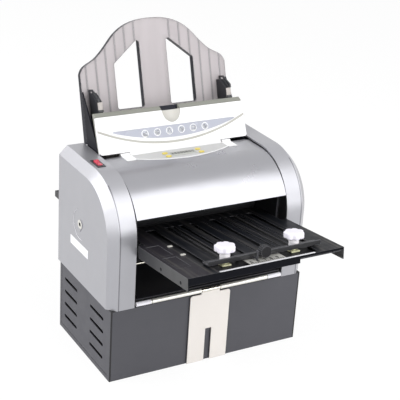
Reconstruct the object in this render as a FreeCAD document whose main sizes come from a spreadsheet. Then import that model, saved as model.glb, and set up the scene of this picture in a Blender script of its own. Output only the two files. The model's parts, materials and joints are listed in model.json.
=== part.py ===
import FreeCAD, Part
import math
import os
import re
import Sketcher

# Desk paper folding machine. Millimetres. +X is the machine's right, -Y its front, +Z up.
# The origin is the centre of the base's footprint on the table.

doc = FreeCAD.newDocument("PaperFoldingMachine")
sheet = doc.addObject("Spreadsheet::Sheet", "Sizes")

SIZES = [
    # base cabinet
    ("base_inset", 4, "side panel inside the side cover above it"),
    ("base_width", "=housing_width - 2 * base_inset", "across the side panels"),
    ("base_depth", 188, "front panel to rear wall"),
    ("base_height", 119, "table to deck"),
    ("panel_wall", 1.6, "sheet steel of the base"),
    ("vent_length", 48, "one vent slot"),
    ("vent_gap", 5.4, "height of a vent slot"),
    ("vent_pitch", 21.8, "rise from slot to slot"),
    ("vent_first", 28, "height of the lowest slot"),
    ("vent_rows", 4, "slots in a column"),
    ("vent_rear_start", 27, "rear column starts here in depth"),
    ("vent_front_end", 21, "front column ends this far in front of the middle"),
    ("seam_inset", 7, "panel seam from the edges"),
    ("seam_width", 0.9, "width of the seam"),
    ("seam_depth", 0.5, "depth of the seam"),
    ("foot_radius", 9, "rubber foot"),
    ("foot_height", 5, "rubber foot with its head"),
    ("foot_inset", 24, "foot from the base's corner"),
    ("foot_stem_radius", 5, "neck of a foot in the floor plate"),
    ("inlet_width", 31, "mains inlet body"),
    ("inlet_height", 25, "mains inlet body"),
    ("inlet_depth", 22, "mains inlet body inside the base"),
    ("inlet_flange", 2.4, "mains inlet flange"),
    ("inlet_border", 5, "flange beyond the body"),
    ("inlet_side", 55, "inlet from the base's right side"),
    ("inlet_x", "=base_width / 2 - inlet_side", "inlet from the middle"),
    ("inlet_rise", 34, "inlet above the table"),
    ("inlet_well", 15, "depth of the inlet's recess"),
    ("inlet_lip", 3.5, "wall of the inlet round its recess"),
    ("inlet_blade_radius", 1.2, "contact blades"),
    ("inlet_blade_pitch", 7, "between contact blades"),
    ("board_length", 150, "circuit board"),
    ("board_depth", 90, "circuit board"),
    ("board_thickness", 1.6, "circuit board"),
    ("board_rise", 12, "standoff under the board"),
    ("board_chip", 24, "side of the transformer on the board"),
    ("board_chip_height", 26, "height of the transformer"),
    ("board_shift", 22, "parts on the board from its middle"),
    ("can_radius", 9, "capacitor"),
    ("can_height", 30, "capacitor"),
    ("standoff_radius", 3.5, "board standoff"),
    ("standoff_inset", 8, "standoff from the board's corner"),
    # upper housing
    ("bay_width", 256.6, "between the side covers"),
    ("cover_width", 40.7, "across one side cover"),
    ("housing_width", "=bay_width + 2 * cover_width", "across the side covers"),
    ("housing_top", 310, "table to the side covers' top"),
    ("housing_front", 96, "front of the side covers from the middle"),
    ("housing_rear", 94, "rear of the side covers from the middle"),
    ("housing_round", 88, "radius of the front top corner"),
    ("cover_chamfer", 13, "bevel of a side cover's outer face"),
    ("cover_wall", 2.6, "plastic wall of the side covers"),
    ("seat_gap", 0.3, "running gap between neighbouring sheets"),
    ("dish_radius", 24, "round dish on the left cover"),
    ("dish_depth", 0.8, "depth of that dish"),
    ("dish_y", 13, "dish behind the middle"),
    ("dish_z", 214, "height of the dish"),
    ("collar_radius", 7.5, "raised collar in the dish"),
    ("collar_bore", 3, "hole in the collar"),
    ("collar_stand", 0.9, "how far the collar stands out"),
    ("collar_tail", 12, "length of the collar's pointed end"),
    # curved front cover and rear cover
    ("hood_gap", 0.7, "front cover to the side covers"),
    ("hood_top", 306, "table to the front cover's flat top"),
    ("hood_radius", 88, "curve of the front cover"),
    ("hood_bend_y", 11.3, "centre of the curve in front of the middle"),
    ("hood_wall", 3, "front cover wall"),
    ("hood_lip_z", 256.4, "height of its lower edge"),
    ("hood_rear_y", 30.2, "rear edge of its flat top"),
    ("hood_notch", 6, "notch in the rear corners"),
    ("rear_wall", 2, "rear cover sheet"),
    ("rear_slot_low", 166, "rear slot's lower edge"),
    ("rear_slot_high", 214, "rear slot's upper edge"),
    ("rear_slot_half", "=bay_width / 2 - hood_gap", "rear slot's half width"),
    ("rear_top", 300, "top of the rear cover"),
    # inner frames
    ("frame_gap", 8.3, "frame's inner face inside the side cover"),
    ("frame_inner", "=bay_width / 2 - frame_gap", "inner face of a side frame from the middle"),
    ("frame_wall", 3, "side frame plate"),
    ("frame_front", 78, "front of the frames from the middle"),
    ("frame_rear", 88, "rear of the frames from the middle"),
    ("frame_top", 303, "top of the frames under the front cover"),
    ("frame_shoulder", 262, "top of the frames under the hopper"),
    ("frame_cheek", 250, "height of the frame's front edge"),
    ("frame_slope_y", 55, "corner of the frame's front slope"),
    ("frame_slope_z", 284, "height of that corner"),
    ("frame_crown_y", 11.3, "front end of the frame's top"),
    ("frame_step_y", 26, "rear end of the frame's top"),
    ("tie_radius", 4, "cross tie rod"),
    ("tie_front_y", 62, "front tie rods from the middle"),
    ("tie_low_z", 126, "lower tie rods"),
    ("tie_high_z", 264, "upper front tie rod"),
    ("tie_rear_y", 78, "rear tie rod from the middle"),
    ("guide_rod_radius", 1.8, "thin bright rod across the exit mouth"),
    ("guide_rod_y", 60, "that rod from the middle"),
    ("guide_rod_z", 171.3, "height of that rod"),
    # fold rollers
    ("roller_y", 10, "roller stack in front of the middle"),
    ("roller_radius", 12, "fold roller"),
    ("nip_gap", 0.4, "between two rollers"),
    ("first_nip", 206, "height of the first nip"),
    ("roller_end_gap", 2.5, "barrel's end to the frame"),
    ("roller_half", "=frame_inner - roller_end_gap", "half length of a roller's barrel"),
    ("shaft_radius", 4, "roller shaft"),
    ("gear_offset", 10.5, "gears beyond the frame's inner face"),
    ("gear_start", "=frame_inner + gear_offset", "gears from the middle"),
    ("gear_width", 7, "gear face width"),
    ("gear_teeth", 16, "teeth of a roller gear"),
    ("gear_backlash", 0.34, "thinning of each tooth flank"),
    ("pulley_radius", 9, "belt pulley"),
    ("pulley_rim", 1.2, "pulley flange beyond the belt face"),
    ("pulley_rim_width", 1.2, "thickness of a pulley flange"),
    ("bush_radius", 6.5, "bearing bush"),
    ("bush_flange", 8.5, "bearing bush flange"),
    ("bush_flange_width", 1.5, "thickness of the bush flange"),
    ("bush_stand", 1.5, "bush beyond the frame outside"),
    ("shaft_play", 0.05, "running clearance of every shaft"),
    ("feed_y", 52, "feed roller behind the middle"),
    ("feed_z", 251, "height of the feed roller"),
    ("feed_radius", 15, "rubber feed roller"),
    ("feed_half", 30, "half length of the feed roller"),
    ("feed_shaft_radius", 3.5, "feed roller shaft"),
    ("motor_y", 50, "motor behind the middle"),
    ("motor_z", 148, "height of the motor"),
    ("motor_radius", 22, "motor can"),
    ("motor_length", 78, "motor can"),
    ("motor_flange", 3, "motor flange"),
    ("motor_shaft_radius", 3, "motor shaft"),
    ("motor_pulley_radius", 6, "motor pulley"),
    ("belt_wall", 1.4, "belt thickness"),
    ("belt_gap", 0.3, "belt to pulley"),
    # hopper
    ("tray_wall", 1.6, "hopper tray sheet"),
    ("cheek_gap", 1.3, "cheek and fold plate to the side cover"),
    ("cheek_wall", 2.5, "hopper cheek"),
    ("cheek_inner", "=cheek_outer - cheek_wall", "inner face of a hopper cheek"),
    ("cheek_outer", "=bay_width / 2 - cheek_gap", "outer face of a hopper cheek"),
    ("tray_front_y", 30.6, "front wall of the tray"),
    ("tray_front_top", 301.2, "top of the tray's front wall"),
    ("tray_seat", 262, "underside of the tray's floor"),
    ("tray_slot_y", 35.5, "front of the floor behind the outlet slot"),
    ("feed_slot_margin", 2, "floor round the feed roller"),
    ("chute_end_y", 5, "lower end of the chute"),
    ("chute_end_z", 205, "height of the chute's lower end"),
    ("gusset_height", 80, "hopper gusset up the support"),
    ("gusset_reach", 36, "hopper gusset forward of the support"),
    ("support_lean", 17.2, "paper support leans back, degrees"),
    ("support_y", 85.1, "support's front face at the housing top"),
    ("support_wall", 4, "paper support thickness"),
    ("support_half", "=bay_width / 2 - cheek_gap", "half width of the paper support"),
    ("support_foot_gap", 3, "foot of the support to the cheek"),
    ("support_foot_half", "=cheek_inner - support_foot_gap", "half width inside the tray"),
    ("support_foot", 44, "length of the support inside the tray"),
    ("support_side", 106, "straight side above the housing top"),
    ("support_height", 183.6, "top of the support along its slope"),
    ("rim_wall", 2.2, "thickness of the rear rims"),
    ("rim_depth", 3.5, "rear rim round the support's outline"),
    ("window_rim", 6, "rear rims round the windows"),
    ("flange_depth", 7, "rear rim at the foot of the straight sides"),
    ("window_inner", 23.5, "support window from the middle"),
    ("window_outer", 69, "support window's outer edge"),
    ("window_low", 47, "support window's bottom"),
    ("window_high_outer", 117.5, "window's outer top corner"),
    ("window_high_inner", 154.5, "window's inner top corner"),
    ("window_round", 4, "corner radius of the windows"),
    ("rib_first", 30.5, "first rib line from the middle"),
    ("rib_edge", 10.5, "last rib line from the support's edge"),
    ("rib_pitch", "=(support_half - rib_edge - rib_first) / (rib_count - 1)", "between rib lines"),
    ("rib_width", 1.4, "width of a rib"),
    ("rib_stand", 0.3, "how far a rib stands out"),
    ("rib_count", 6, "rib lines each side of the middle"),
    # side guides
    ("guide_side", 12.3, "guide to the side cover"),
    ("guide_width", 8, "across a guide"),
    ("guide_inner", "=guide_outer - guide_width", "inner face of a side guide"),
    ("guide_outer", "=bay_width / 2 - guide_side", "outer face of a side guide"),
    ("guide_gap", 0.6, "guide in front of the support"),
    ("guide_stem", 11, "depth of the guide's lower blade"),
    ("guide_wall", 2.5, "blade thickness"),
    ("guide_block_low", 46, "underside of the block"),
    ("guide_block_top", 80, "top of the block at the rear"),
    ("guide_block_depth", 29, "depth of the block"),
    ("guide_block_nose", 66, "top of the block at the front"),
    ("guide_arm", 2.6, "thickness of the post and top bar"),
    ("guide_arm_gap", 3, "window between the block and the bar"),
    ("guide_plate", 1.2, "metal wear plate on the block's front"),
    ("guide_foot_low", 48.4, "underside of the block's toe, over the lid's top edge"),
    ("guide_plate_low", 51.5, "wear plate's lower edge"),
    ("guide_plate_high", 63, "wear plate's upper edge"),
    ("guide_travel", 56, "each guide slides inwards by this"),
    ("rail_radius", 3, "guide rail"),
    ("rail_drop", 35, "rail below the housing top along the support"),
    ("rail_forward", 7, "rail in front of the support"),
    ("guide_lug_radius", 5.6, "guide's lug round the rail"),
    # lid
    ("lid_lean", 24.9, "lid leans back, degrees"),
    ("lid_y", 33.4, "front bottom edge of the lid"),
    ("lid_z", 310.15, "height of that edge"),
    ("lid_side", 0.5, "lid to the side cover"),
    ("lid_half", "=bay_width / 2 - lid_side", "half width of the lid at the bottom"),
    ("lid_taper", 1.2, "lid narrower at the top, each side"),
    ("lid_half_top", "=lid_half - lid_taper", "half width of the lid at the top"),
    ("lid_height", 56.66, "front face along its slope"),
    ("lid_shell", 6.4, "white shell depth"),
    ("lid_round", 4, "bottom corners"),
    ("lid_inner_height", 63.9, "grey back shell"),
    ("lid_inner_depth", 10, "rear face of the grey shell"),
    ("lid_step", 0.8, "grey shell inside the white shell's ends"),
    ("lid_inner_half", "=lid_half - lid_step", "half width of the grey shell"),
    ("lid_seam", 0.3, "white shell's top edge to the grey bevel"),
    ("lid_groove_radius", 335, "curve of the groove"),
    ("lid_groove_low", 10.5, "groove's lowest point"),
    ("lid_groove_width", 3, "groove"),
    ("lid_groove_depth", 0.8, "groove"),
    ("label_top", 33, "top edge of the label recess"),
    ("label_low", 13.7, "lowest point of the label recess"),
    ("label_radius", 340, "curve of the label recess"),
    ("label_x", 3.5, "middle of the label"),
    ("label_side", 21.9, "label's end to the lid's end"),
    ("label_half", "=lid_half - label_side", "half width of the label"),
    ("label_depth", 0.4, "label recess"),
    ("notch_half", 16, "thumb notch half width"),
    ("notch_drop", 19.8, "thumb notch below the top edge"),
    ("notch_depth", 8.8, "thumb notch depth at the top"),
    ("lid_pivot_y", 33.5, "lid hinge pin"),
    ("lid_pivot_z", 304.5, "height of the hinge pin"),
    ("knuckle_radius", 2.6, "lid knuckle"),
    ("knuckle_half", 79.6, "half length of the lid knuckle"),
    ("knuckle_web", 2.6, "web between knuckle and shell"),
    ("lid_pin_radius", 1.4, "hinge pin"),
    ("lid_pin_start", 66, "inner end of a hinge pin"),
    ("lid_pin_end", 93, "outer end of a hinge pin"),
    # control panel
    ("block_inner", 81, "hinge block inner face"),
    ("block_outer", 95.5, "hinge block outer face"),
    ("block_radius", 4.6, "barrel of a hinge block"),
    ("block_front_y", 9, "front tip of a hinge block"),
    ("panel_radius", 180.75, "curve of the control panel"),
    ("panel_front_y", 8, "front of the panel's curve"),
    ("panel_rear_y", 29.8, "rear edge of the panel"),
    ("panel_rim", 1.8, "width of the white rim"),
    ("panel_rim_height", 0.9, "rim above the cover"),
    ("panel_thickness", 2.6, "panel plate"),
    ("panel_stand", 0.4, "panel plate above the cover"),
    ("lcd_half", 21, "display half width"),
    ("lcd_front_y", 3, "display's front edge"),
    ("lcd_rear_y", 18, "display's rear edge"),
    ("lcd_stand", 0.4, "display above the panel"),
    ("button_length", 9, "oval button"),
    ("button_depth", 6, "oval button"),
    ("button_x", 28.5, "buttons from the middle"),
    ("button_rear_y", 17, "rear buttons"),
    ("button_front_y", 4.5, "front buttons"),
    ("button_stand", 1.2, "button above the panel"),
    ("button_height", 3.6, "button"),
    ("button_gap", 0.3, "button to its hole"),
    # power switch
    ("switch_side", 16.2, "switch beyond the side cover's inner face"),
    ("switch_x", "=bay_width / 2 + switch_side", "switch to the left of the middle"),
    ("switch_y", 6.8, "switch behind the middle"),
    ("switch_width", 13, "bezel across"),
    ("switch_length", 28, "bezel fore and aft"),
    ("switch_body", 14, "depth of the switch below the cover"),
    ("bezel_stand", 1, "bezel above the cover"),
    ("bezel_border", 2.4, "bezel beside the rocker"),
    ("bezel_end", 4.6, "bezel at the rocker's ends"),
    ("rocker_stand", 2.2, "rocker's raised end over the bezel"),
    ("rocker_dip", 0.3, "rocker's middle over the bezel"),
    ("rocker_depth", 6, "rocker below the bezel's top"),
    ("rocker_gap", 0.8, "rocker to the bezel"),
    ("rocker_tilt", 5, "rocker at rest tips by this, degrees"),
    ("rocker_heel", 7.6, "lower corner of the rocker from its middle"),
    ("rocker_crest", 8, "raised end of the rocker from its middle"),
    ("rocker_drop", 7, "rocker pivot below the bezel's top"),
    ("rocker_pin_radius", 1.2, "rocker pivot"),
    # fold plates
    ("plate_half", "=bay_width / 2 - cheek_gap", "fold plate half width"),
    ("tongue_gap", 3, "plate's tongue to the frame"),
    ("tongue_half", "=frame_inner - tongue_gap", "half width between the frames"),
    ("plate_lean", 6.843, "front plate rises to the front, degrees"),
    ("front_plate_y", 243.1, "front plate's front edge from the middle"),
    ("front_plate_z", 237.2, "height of that edge"),
    ("front_plate_out", 146, "front plate outside the housing"),
    ("front_plate_in", 73, "front plate inside the housing"),
    ("rear_plate_y", 210, "rear plate's rear edge from the middle"),
    ("rear_plate_z", 184.6, "height of the rear plate"),
    ("rear_plate_out", 113, "rear plate outside the housing"),
    ("rear_plate_in", 92, "rear plate inside the housing"),
    ("ear_start", 12, "fixing ears behind the wide part"),
    ("ear_length", 18, "one fixing ear"),
    ("plate_wall", 1.5, "fold plate sheet"),
    ("paper_gap", 3, "between the two sheets of a fold plate"),
    ("front_flange", 18, "front plate's side flanges"),
    ("rear_flange", 10, "rear plate's side flanges"),
    ("front_lip", 11, "depth of the front lip"),
    ("front_lip_end", 52, "right end of the deep lip"),
    ("front_lip_short", 3.4, "lip beyond that"),
    ("window_front", 4, "front edge of the sight window"),
    ("window_back", 38, "rear edge of the sight window, under the stop bar"),
    ("window_left_share", 0.6141732, "sight window's left edge, of the plate's half width"),
    ("window_right_share", 0.6692913, "sight window's right edge, of the half width"),
    ("window_left", "=plate_half * window_left_share", "sight window to the left"),
    ("window_right", "=plate_half * window_right_share", "sight window to the right"),
    ("slot_front", 35.5, "front plate's long slots open into the window"),
    ("rear_slot_front", 26.5, "front end of the rear plate's slots"),
    ("slot_back", 200, "rear end of the long slots"),
    ("rear_slot_back", 104, "rear end of the rear plate's slots"),
    ("pocket_edge", 6, "rail pockets to the plate's edge"),
    ("pocket_width", 21, "across a rail pocket"),
    ("pocket_inner", "=pocket_outer - pocket_width", "rail pockets, inner edge"),
    ("pocket_outer", "=plate_half - pocket_edge", "rail pockets, outer edge"),
    ("pocket_depth", 0.7, "rail pockets"),
    ("pocket_first", 40, "front end of the first pocket"),
    ("pocket_length", 44, "length of a pocket"),
    ("pocket_pitch", 52, "from pocket to pocket"),
    ("strip_half", 77.5, "bright edge strip"),
    ("strip_depth", 3, "bright edge strip"),
    ("strip_wall", 0.7, "bright edge strip"),
    ("scale_left", 27, "scale plate to the left"),
    ("scale_right", 31, "scale plate to the right"),
    ("scale_back", 26.6, "scale plate's rear edge"),
    ("scale_wall", 0.5, "scale plate"),
    # paper stops on the fold plates
    ("bar_left_share", 0.6614173, "stop bar's left end, of the plate's half width"),
    ("bar_right_share", 0.7952756, "stop bar's right end, of the half width"),
    ("bar_left", "=plate_half * bar_left_share", "stop bar to the left"),
    ("bar_right", "=plate_half * bar_right_share", "stop bar to the right"),
    ("bar_front", 21, "front face of the stop bar"),
    ("bar_depth", 16.5, "foot of the stop bar"),
    ("bar_height", 6.5, "stop bar"),
    ("bar_wall", 1.5, "stop bar sheet"),
    ("bar_gap", 2.5, "stop bar above the plate"),
    ("finger_width", 5, "stop finger"),
    ("finger_gap", 0.6, "finger above the lower sheet"),
    ("stop_travel", 100, "front stop slides inwards"),
    ("rear_stop_travel", 62, "rear stop slides inwards"),
    ("knob_left_share", 0.4133858, "left knob, of the plate's half width"),
    ("knob_right_share", 0.480315, "right knob, of the plate's half width"),
    ("knob_left_x", "=plate_half * knob_left_share", "left thumb knob from the middle"),
    ("knob_right_x", "=plate_half * knob_right_share", "right thumb knob from the middle"),
    ("knob_depth", 9.5, "knob's axis behind the stop bar's front face"),
    ("knob_radius", 15, "knob head over the lobes"),
    ("knob_valley", 12.2, "knob head between the lobes"),
    ("knob_lobes", 7, "lobes of a knob"),
    ("knob_head", 10, "height of the head"),
    ("knob_stem_radius", 7.4, "knob stem"),
    ("knob_stem", 11.6, "height of the stem"),
    ("knob_screw_radius", 2.4, "clamp screw"),
    ("knob_lift", 0.4, "knob above the bar"),
    ("stud_grip", 9, "stud inside the thumb knob"),
    ("nut_length", 14, "brass clamp nut"),
    ("nut_front", 24.5, "front edge of a clamp nut"),
    ("nut_back", 37, "rear edge of a clamp nut"),
    ("nut_wall", 2, "clamp nut"),
    ("nut_drop", 2.1, "clamp nut's top below the plate"),
    ("dial_radius", 8.7, "fine setting dial"),
    ("dial_x", 2, "dial to the right of the middle"),
    ("dial_rise", 11.6, "dial's centre above the plate"),
    ("dial_front", 9.5, "front of the dial"),
    ("dial_back", 19.5, "rear of the dial"),
    ("dial_shaft_radius", 2, "dial shaft"),
    ("dial_ridge", 0.5, "grip ridges of the dial"),
    ("dial_ridges", 18, "number of grip ridges"),
    ("dial_bracket", 5, "half width of the dial's bracket"),
    ("pointer_x", 13, "scale pointer to the left of the middle"),
    ("pointer_width", 2.5, "scale pointer"),
    ("pointer_front", 11, "front face of the pointer"),
    ("pointer_foot", 1.2, "pointer's tip above the plate"),
    ("pointer_top", 15.5, "top of the pointer"),
    # exit tray and its hinge
    ("hinge_y", 95.6, "tray hinge in front of the middle"),
    ("hinge_z", 124, "height of the tray hinge"),
    ("hinge_radius", 3.4, "hinge knuckles and tubes"),
    ("hinge_rod_radius", 1.8, "hinge rod"),
    ("hinge_end_gap", 2.7, "hinge to the side cover"),
    ("hinge_knuckle", 23.6, "length of an outer knuckle"),
    ("hinge_half", "=bay_width / 2 - hinge_end_gap", "half length of the hinge"),
    ("hinge_outer_start", "=hinge_half - hinge_knuckle", "outer knuckles start here"),
    ("hinge_centre_half", 16, "half length of the centre knuckle"),
    ("hinge_joint", 0.4, "gap between moving knuckle and tubes"),
    ("tray_half", 34.5, "exit tray half width"),
    ("tray_top", 118, "top of the tray plate"),
    ("tray_floor_gap", 0.6, "tray plate above the table"),
    ("tray_plate", 1.4, "tray plate"),
    ("tray_plate_y", 97.4, "front face of the tray plate"),
    ("tray_slot", 11, "open slot in the tray plate"),
    ("tray_slot_height", 57, "height of that slot"),
    ("tray_round", 4, "top corners of the tray plate"),
    ("ledge_gap", 0.7, "ledge behind the hinge knuckles"),
    ("leaf_wall", 2.8, "leaf that fixes an outer knuckle"),
    ("exit_lip_z", 129.5, "front edge of the exit chute"),
    ("exit_lip_y", 90.5, "front edge of the exit chute"),
    ("exit_end_y", 25.5, "inner edge of the exit chute"),
    ("exit_end_z", 152, "height of that edge"),
    ("exit_wall", 1.5, "exit chute sheet"),
    ("exit_gap", 0.6, "exit chute to the frame"),
    ("ledge_end_gap", 1.8, "ledge to the side cover"),
    ("exit_half", "=frame_inner - exit_gap", "exit chute half width"),
    ("ledge_half", "=bay_width / 2 - ledge_end_gap", "ledge behind the hinge, half width"),
    # working allowances
    ("overrun", 5, "how far a cut passes its piece"),
    ("edge_match", 0.05, "how closely an edge's place must match"),
]
for row, (alias, value, note) in enumerate(SIZES, start=1):
    sheet.set(f"A{row}", alias)
    sheet.set(f"C{row}", note)
    sheet.setAlias(f"B{row}", alias)
for row, (alias, value, note) in enumerate(SIZES, start=1):
    sheet.set(f"B{row}", str(value))
doc.recompute()

KNOWN = {alias for alias, value, note in SIZES}
WORD = re.compile(r"[a-z][a-z_]*")
PIECES = []

# Long slots of a fold plate: middle and width as shares of the plate's half width.
SLOT_SHARES = [(-0.642, 0.11), (-0.413, 0.06), (-0.34, 0.042), (-0.236, 0.055), (-0.094, 0.047), (0.071, 0.02),
               (0.197, 0.071), (0.319, 0.032), (0.39, 0.024), (0.48, 0.06), (0.555, 0.032), (0.614, 0.02),
               (0.72, 0.071)]
FINGER_SHARES = [-0.63, -0.236, 0.197, 0.72]

# Width of each lobe of a knob as a share of the lobes' spacing.
LOBE_SHARE = 0.62

# Rounded shoulder of the paper support: shares of its half width and of its height over the side.
SHOULDER_SHARES = [(1, 0), (0.986, 0.055), (0.968, 0.102), (0.941, 0.146), (0.896, 0.191), (0.842, 0.232),
                   (0.791, 0.278), (0.747, 0.334), (0.707, 0.394), (0.666, 0.459), (0.618, 0.543), (0.57, 0.633),
                   (0.52, 0.715), (0.475, 0.776), (0.427, 0.831), (0.375, 0.879), (0.319, 0.918), (0.259, 0.95),
                   (0.197, 0.974), (0.133, 0.99), (0.066, 0.998), (0, 1)]


def size(name):
    """A size from the sheet, as a number."""
    return float(sheet.evalExpression(name))


def linked(text):
    """The same expression with each size's name pointing at the sheet."""
    return WORD.sub(lambda word: "Sizes." + word.group(0) if word.group(0) in KNOWN else word.group(0), text)


def bind(item, prop, text):
    item.setExpression(prop, linked(text))


def box(x, y, z):
    """A block between two expressions along each axis."""
    item = doc.addObject("Part::Box", "Block")
    for prop, axis, (low, high) in (("Length", "x", x), ("Width", "y", y), ("Height", "z", z)):
        bind(item, prop, f"({high}) - ({low})")
        bind(item, "Placement.Base." + axis, low)
    return item


TURNS = {"x": ((0, 1, 0), 90), "y": ((1, 0, 0), -90), "z": ((0, 0, 1), 0)}


def rod(axis, radius, span, centre):
    """A cylinder along an axis; centre gives its two other coordinates in X, Y, Z order."""
    item = doc.addObject("Part::Cylinder", "Rod")
    turn, angle = TURNS[axis]
    item.Placement = FreeCAD.Placement(FreeCAD.Vector(), FreeCAD.Rotation(FreeCAD.Vector(*turn), angle))
    low, high = span
    bind(item, "Radius", radius)
    bind(item, "Height", f"({high}) - ({low})")
    bind(item, "Placement.Base." + axis, low)
    for other, text in zip([name for name in "xyz" if name != axis], centre):
        bind(item, "Placement.Base." + other, text)
    return item


def cut(base, *tools):
    """The base with every tool taken away."""
    item = doc.addObject("Part::Cut", "Cut")
    item.Base = base
    item.Tool = tools[0] if len(tools) == 1 else fuse(*tools)
    return item


def fuse(*parts):
    item = doc.addObject("Part::MultiFuse", "Fuse")
    item.Shapes = list(parts)
    return item


def common(*parts):
    item = doc.addObject("Part::MultiCommon", "Common")
    item.Shapes = list(parts)
    return item


def group(*parts):
    """Separate solids that share one node."""
    item = doc.addObject("Part::Compound", "Group")
    item.Links = list(parts)
    return item


def copy_of(shape):
    """A Part::Feature that holds a shape worked out from the sheet's values."""
    item = doc.addObject("Part::Feature", "Shape")
    item.Shape = shape
    return item


def origin_plane(body, role):
    return next(feature for feature in body.Origin.OriginFeatures if feature.Role == role)


def outline(body, plane, loops, offset):
    """A sketch of closed loops of corners, each corner held by two expressions."""
    sketch = body.newObject("Sketcher::SketchObject", "Outline")
    sketch.AttachmentSupport = [(origin_plane(body, plane + "_Plane"), "")]
    sketch.MapMode = "FlatFace"
    bind(sketch, "AttachmentOffset.Base.z", offset)
    for corners in loops:
        first = sketch.GeometryCount
        places = [FreeCAD.Vector(size(u), size(v), 0) for u, v in corners]
        for start, end in zip(places, places[1:] + places[:1]):
            sketch.addGeometry(Part.LineSegment(start, end), False)
        for index, (u, v) in enumerate(corners):
            line, after = first + index, first + (index + 1) % len(corners)
            sketch.addConstraint(Sketcher.Constraint("Coincident", line, 2, after, 1))
            for kind, text in (("DistanceX", u), ("DistanceY", v)):
                number = sketch.addConstraint(Sketcher.Constraint(kind, -1, 1, line, 1, size(text)))
                bind(sketch, f"Constraints[{number}]", text)
    return sketch


# For each sketch plane: the sign of its normal along the model's axis.
PLANE_SIGN = {"YZ": 1, "XZ": -1, "XY": 1}


def pad(plane, loops, span):
    """A body whose outline is padded between two expressions along the plane's axis."""
    low, high = span
    body = doc.addObject("PartDesign::Body", "Body")
    start = low if PLANE_SIGN[plane] > 0 else f"-({high})"
    feature = body.newObject("PartDesign::Pad", "Pad")
    feature.Profile = outline(body, plane, loops, start)
    bind(feature, "Length", f"({high}) - ({low})")
    return body


def soften(body, kind, prop, text, chooser):
    """A fillet or chamfer on the edges of the body's last feature that the chooser accepts."""
    doc.recompute()
    last = body.Tip
    names = [f"Edge{number}" for number, edge in enumerate(last.Shape.Edges, start=1) if chooser(edge)]
    feature = body.newObject("PartDesign::" + kind, kind)
    feature.Base = (last, names)
    bind(feature, prop, text)
    body.Tip = feature
    return body


def along(edge, axis):
    """Whether a straight edge runs along an axis."""
    ends = edge.Vertexes
    if len(ends) != 2:
        return False
    step = ends[1].Point - ends[0].Point
    return abs(step.Length - abs(getattr(step, axis))) < edge.Length / 1000


def near(value, target):
    return abs(value - target) < size("edge_match")


# The leaning frames: base point and lean about X, all in expressions.
FRAMES = {
    "lid": (("0", "lid_y", "lid_z"), "-lid_lean"),
    "support": (("0", "support_y", "housing_top"), "-support_lean"),
    "front": (("0", "-front_plate_y", "front_plate_z"), "-plate_lean"),
    "rocker": (("-switch_x", "switch_y", "housing_top + bezel_stand - rocker_drop / 2"), "rocker_tilt"),
}


def piece(label, item, frame=None):
    """Name a finished sub-part, put it in its frame and list it for export."""
    if frame and item.TypeId in ("Part::Box", "Part::Cylinder"):
        item = group(item)
    item.Label = label
    if frame == "rear":
        turn = FreeCAD.Rotation(FreeCAD.Vector(0, 0, 1), 180)
        item.Placement = FreeCAD.Placement(FreeCAD.Vector(), turn)
        bind(item, "Placement.Base.y", "rear_plate_y")
        bind(item, "Placement.Base.z", "rear_plate_z")
    elif frame:
        base, lean = FRAMES[frame]
        turn = FreeCAD.Rotation(FreeCAD.Vector(1, 0, 0), size(lean))
        item.Placement = FreeCAD.Placement(FreeCAD.Vector(), turn)
        for axis, text in zip("xyz", base):
            if text != "0":
                bind(item, "Placement.Base." + axis, text)
        bind(item, "Placement.Rotation.Angle", lean)
    PIECES.append(item)
    return item


def mirrored(x):
    """The same span of X on the other side of the middle."""
    low, high = x
    return f"-({high})", f"-({low})"


def sides(right):
    """Left and right spans of X, named."""
    return (("left", mirrored(right)), ("right", right))


# Base cabinet


def base_chassis():
    half, deep = "base_width / 2 - panel_wall", "base_depth / 2"
    front = f"-({deep}) + panel_wall"
    floor = box((f"-({half})", half), (front, deep), ("0", "panel_wall"))
    deck = box((f"-({half})", half), (front, deep), ("base_height - panel_wall", "base_height"))
    rear = box((f"-({half})", half), (f"{deep} - panel_wall", deep), ("panel_wall", "base_height - panel_wall"))
    holes = [rod("z", "foot_stem_radius", ("-overrun", "overrun"), spot) for spot in foot_spots()]
    opening = box(("inlet_x - inlet_width / 2", "inlet_x + inlet_width / 2"),
                  (f"{deep} - overrun", f"{deep} + overrun"),
                  ("inlet_rise - inlet_height / 2", "inlet_rise + inlet_height / 2"))
    piece("base_chassis", cut(fuse(floor, deck, rear), opening, *holes))


def foot_spots():
    x, y = "base_width / 2 - foot_inset", "base_depth / 2 - foot_inset"
    return [(sx + f"({x})", sy + f"({y})") for sx in ("", "-") for sy in ("", "-")]


def base_feet():
    feet = []
    for spot in foot_spots():
        neck = rod("z", "foot_stem_radius", ("0", "panel_wall"), spot)
        head = rod("z", "foot_radius", ("panel_wall", "foot_height"), spot)
        feet.append(fuse(neck, head))
    piece("base_feet", group(*feet))


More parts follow.
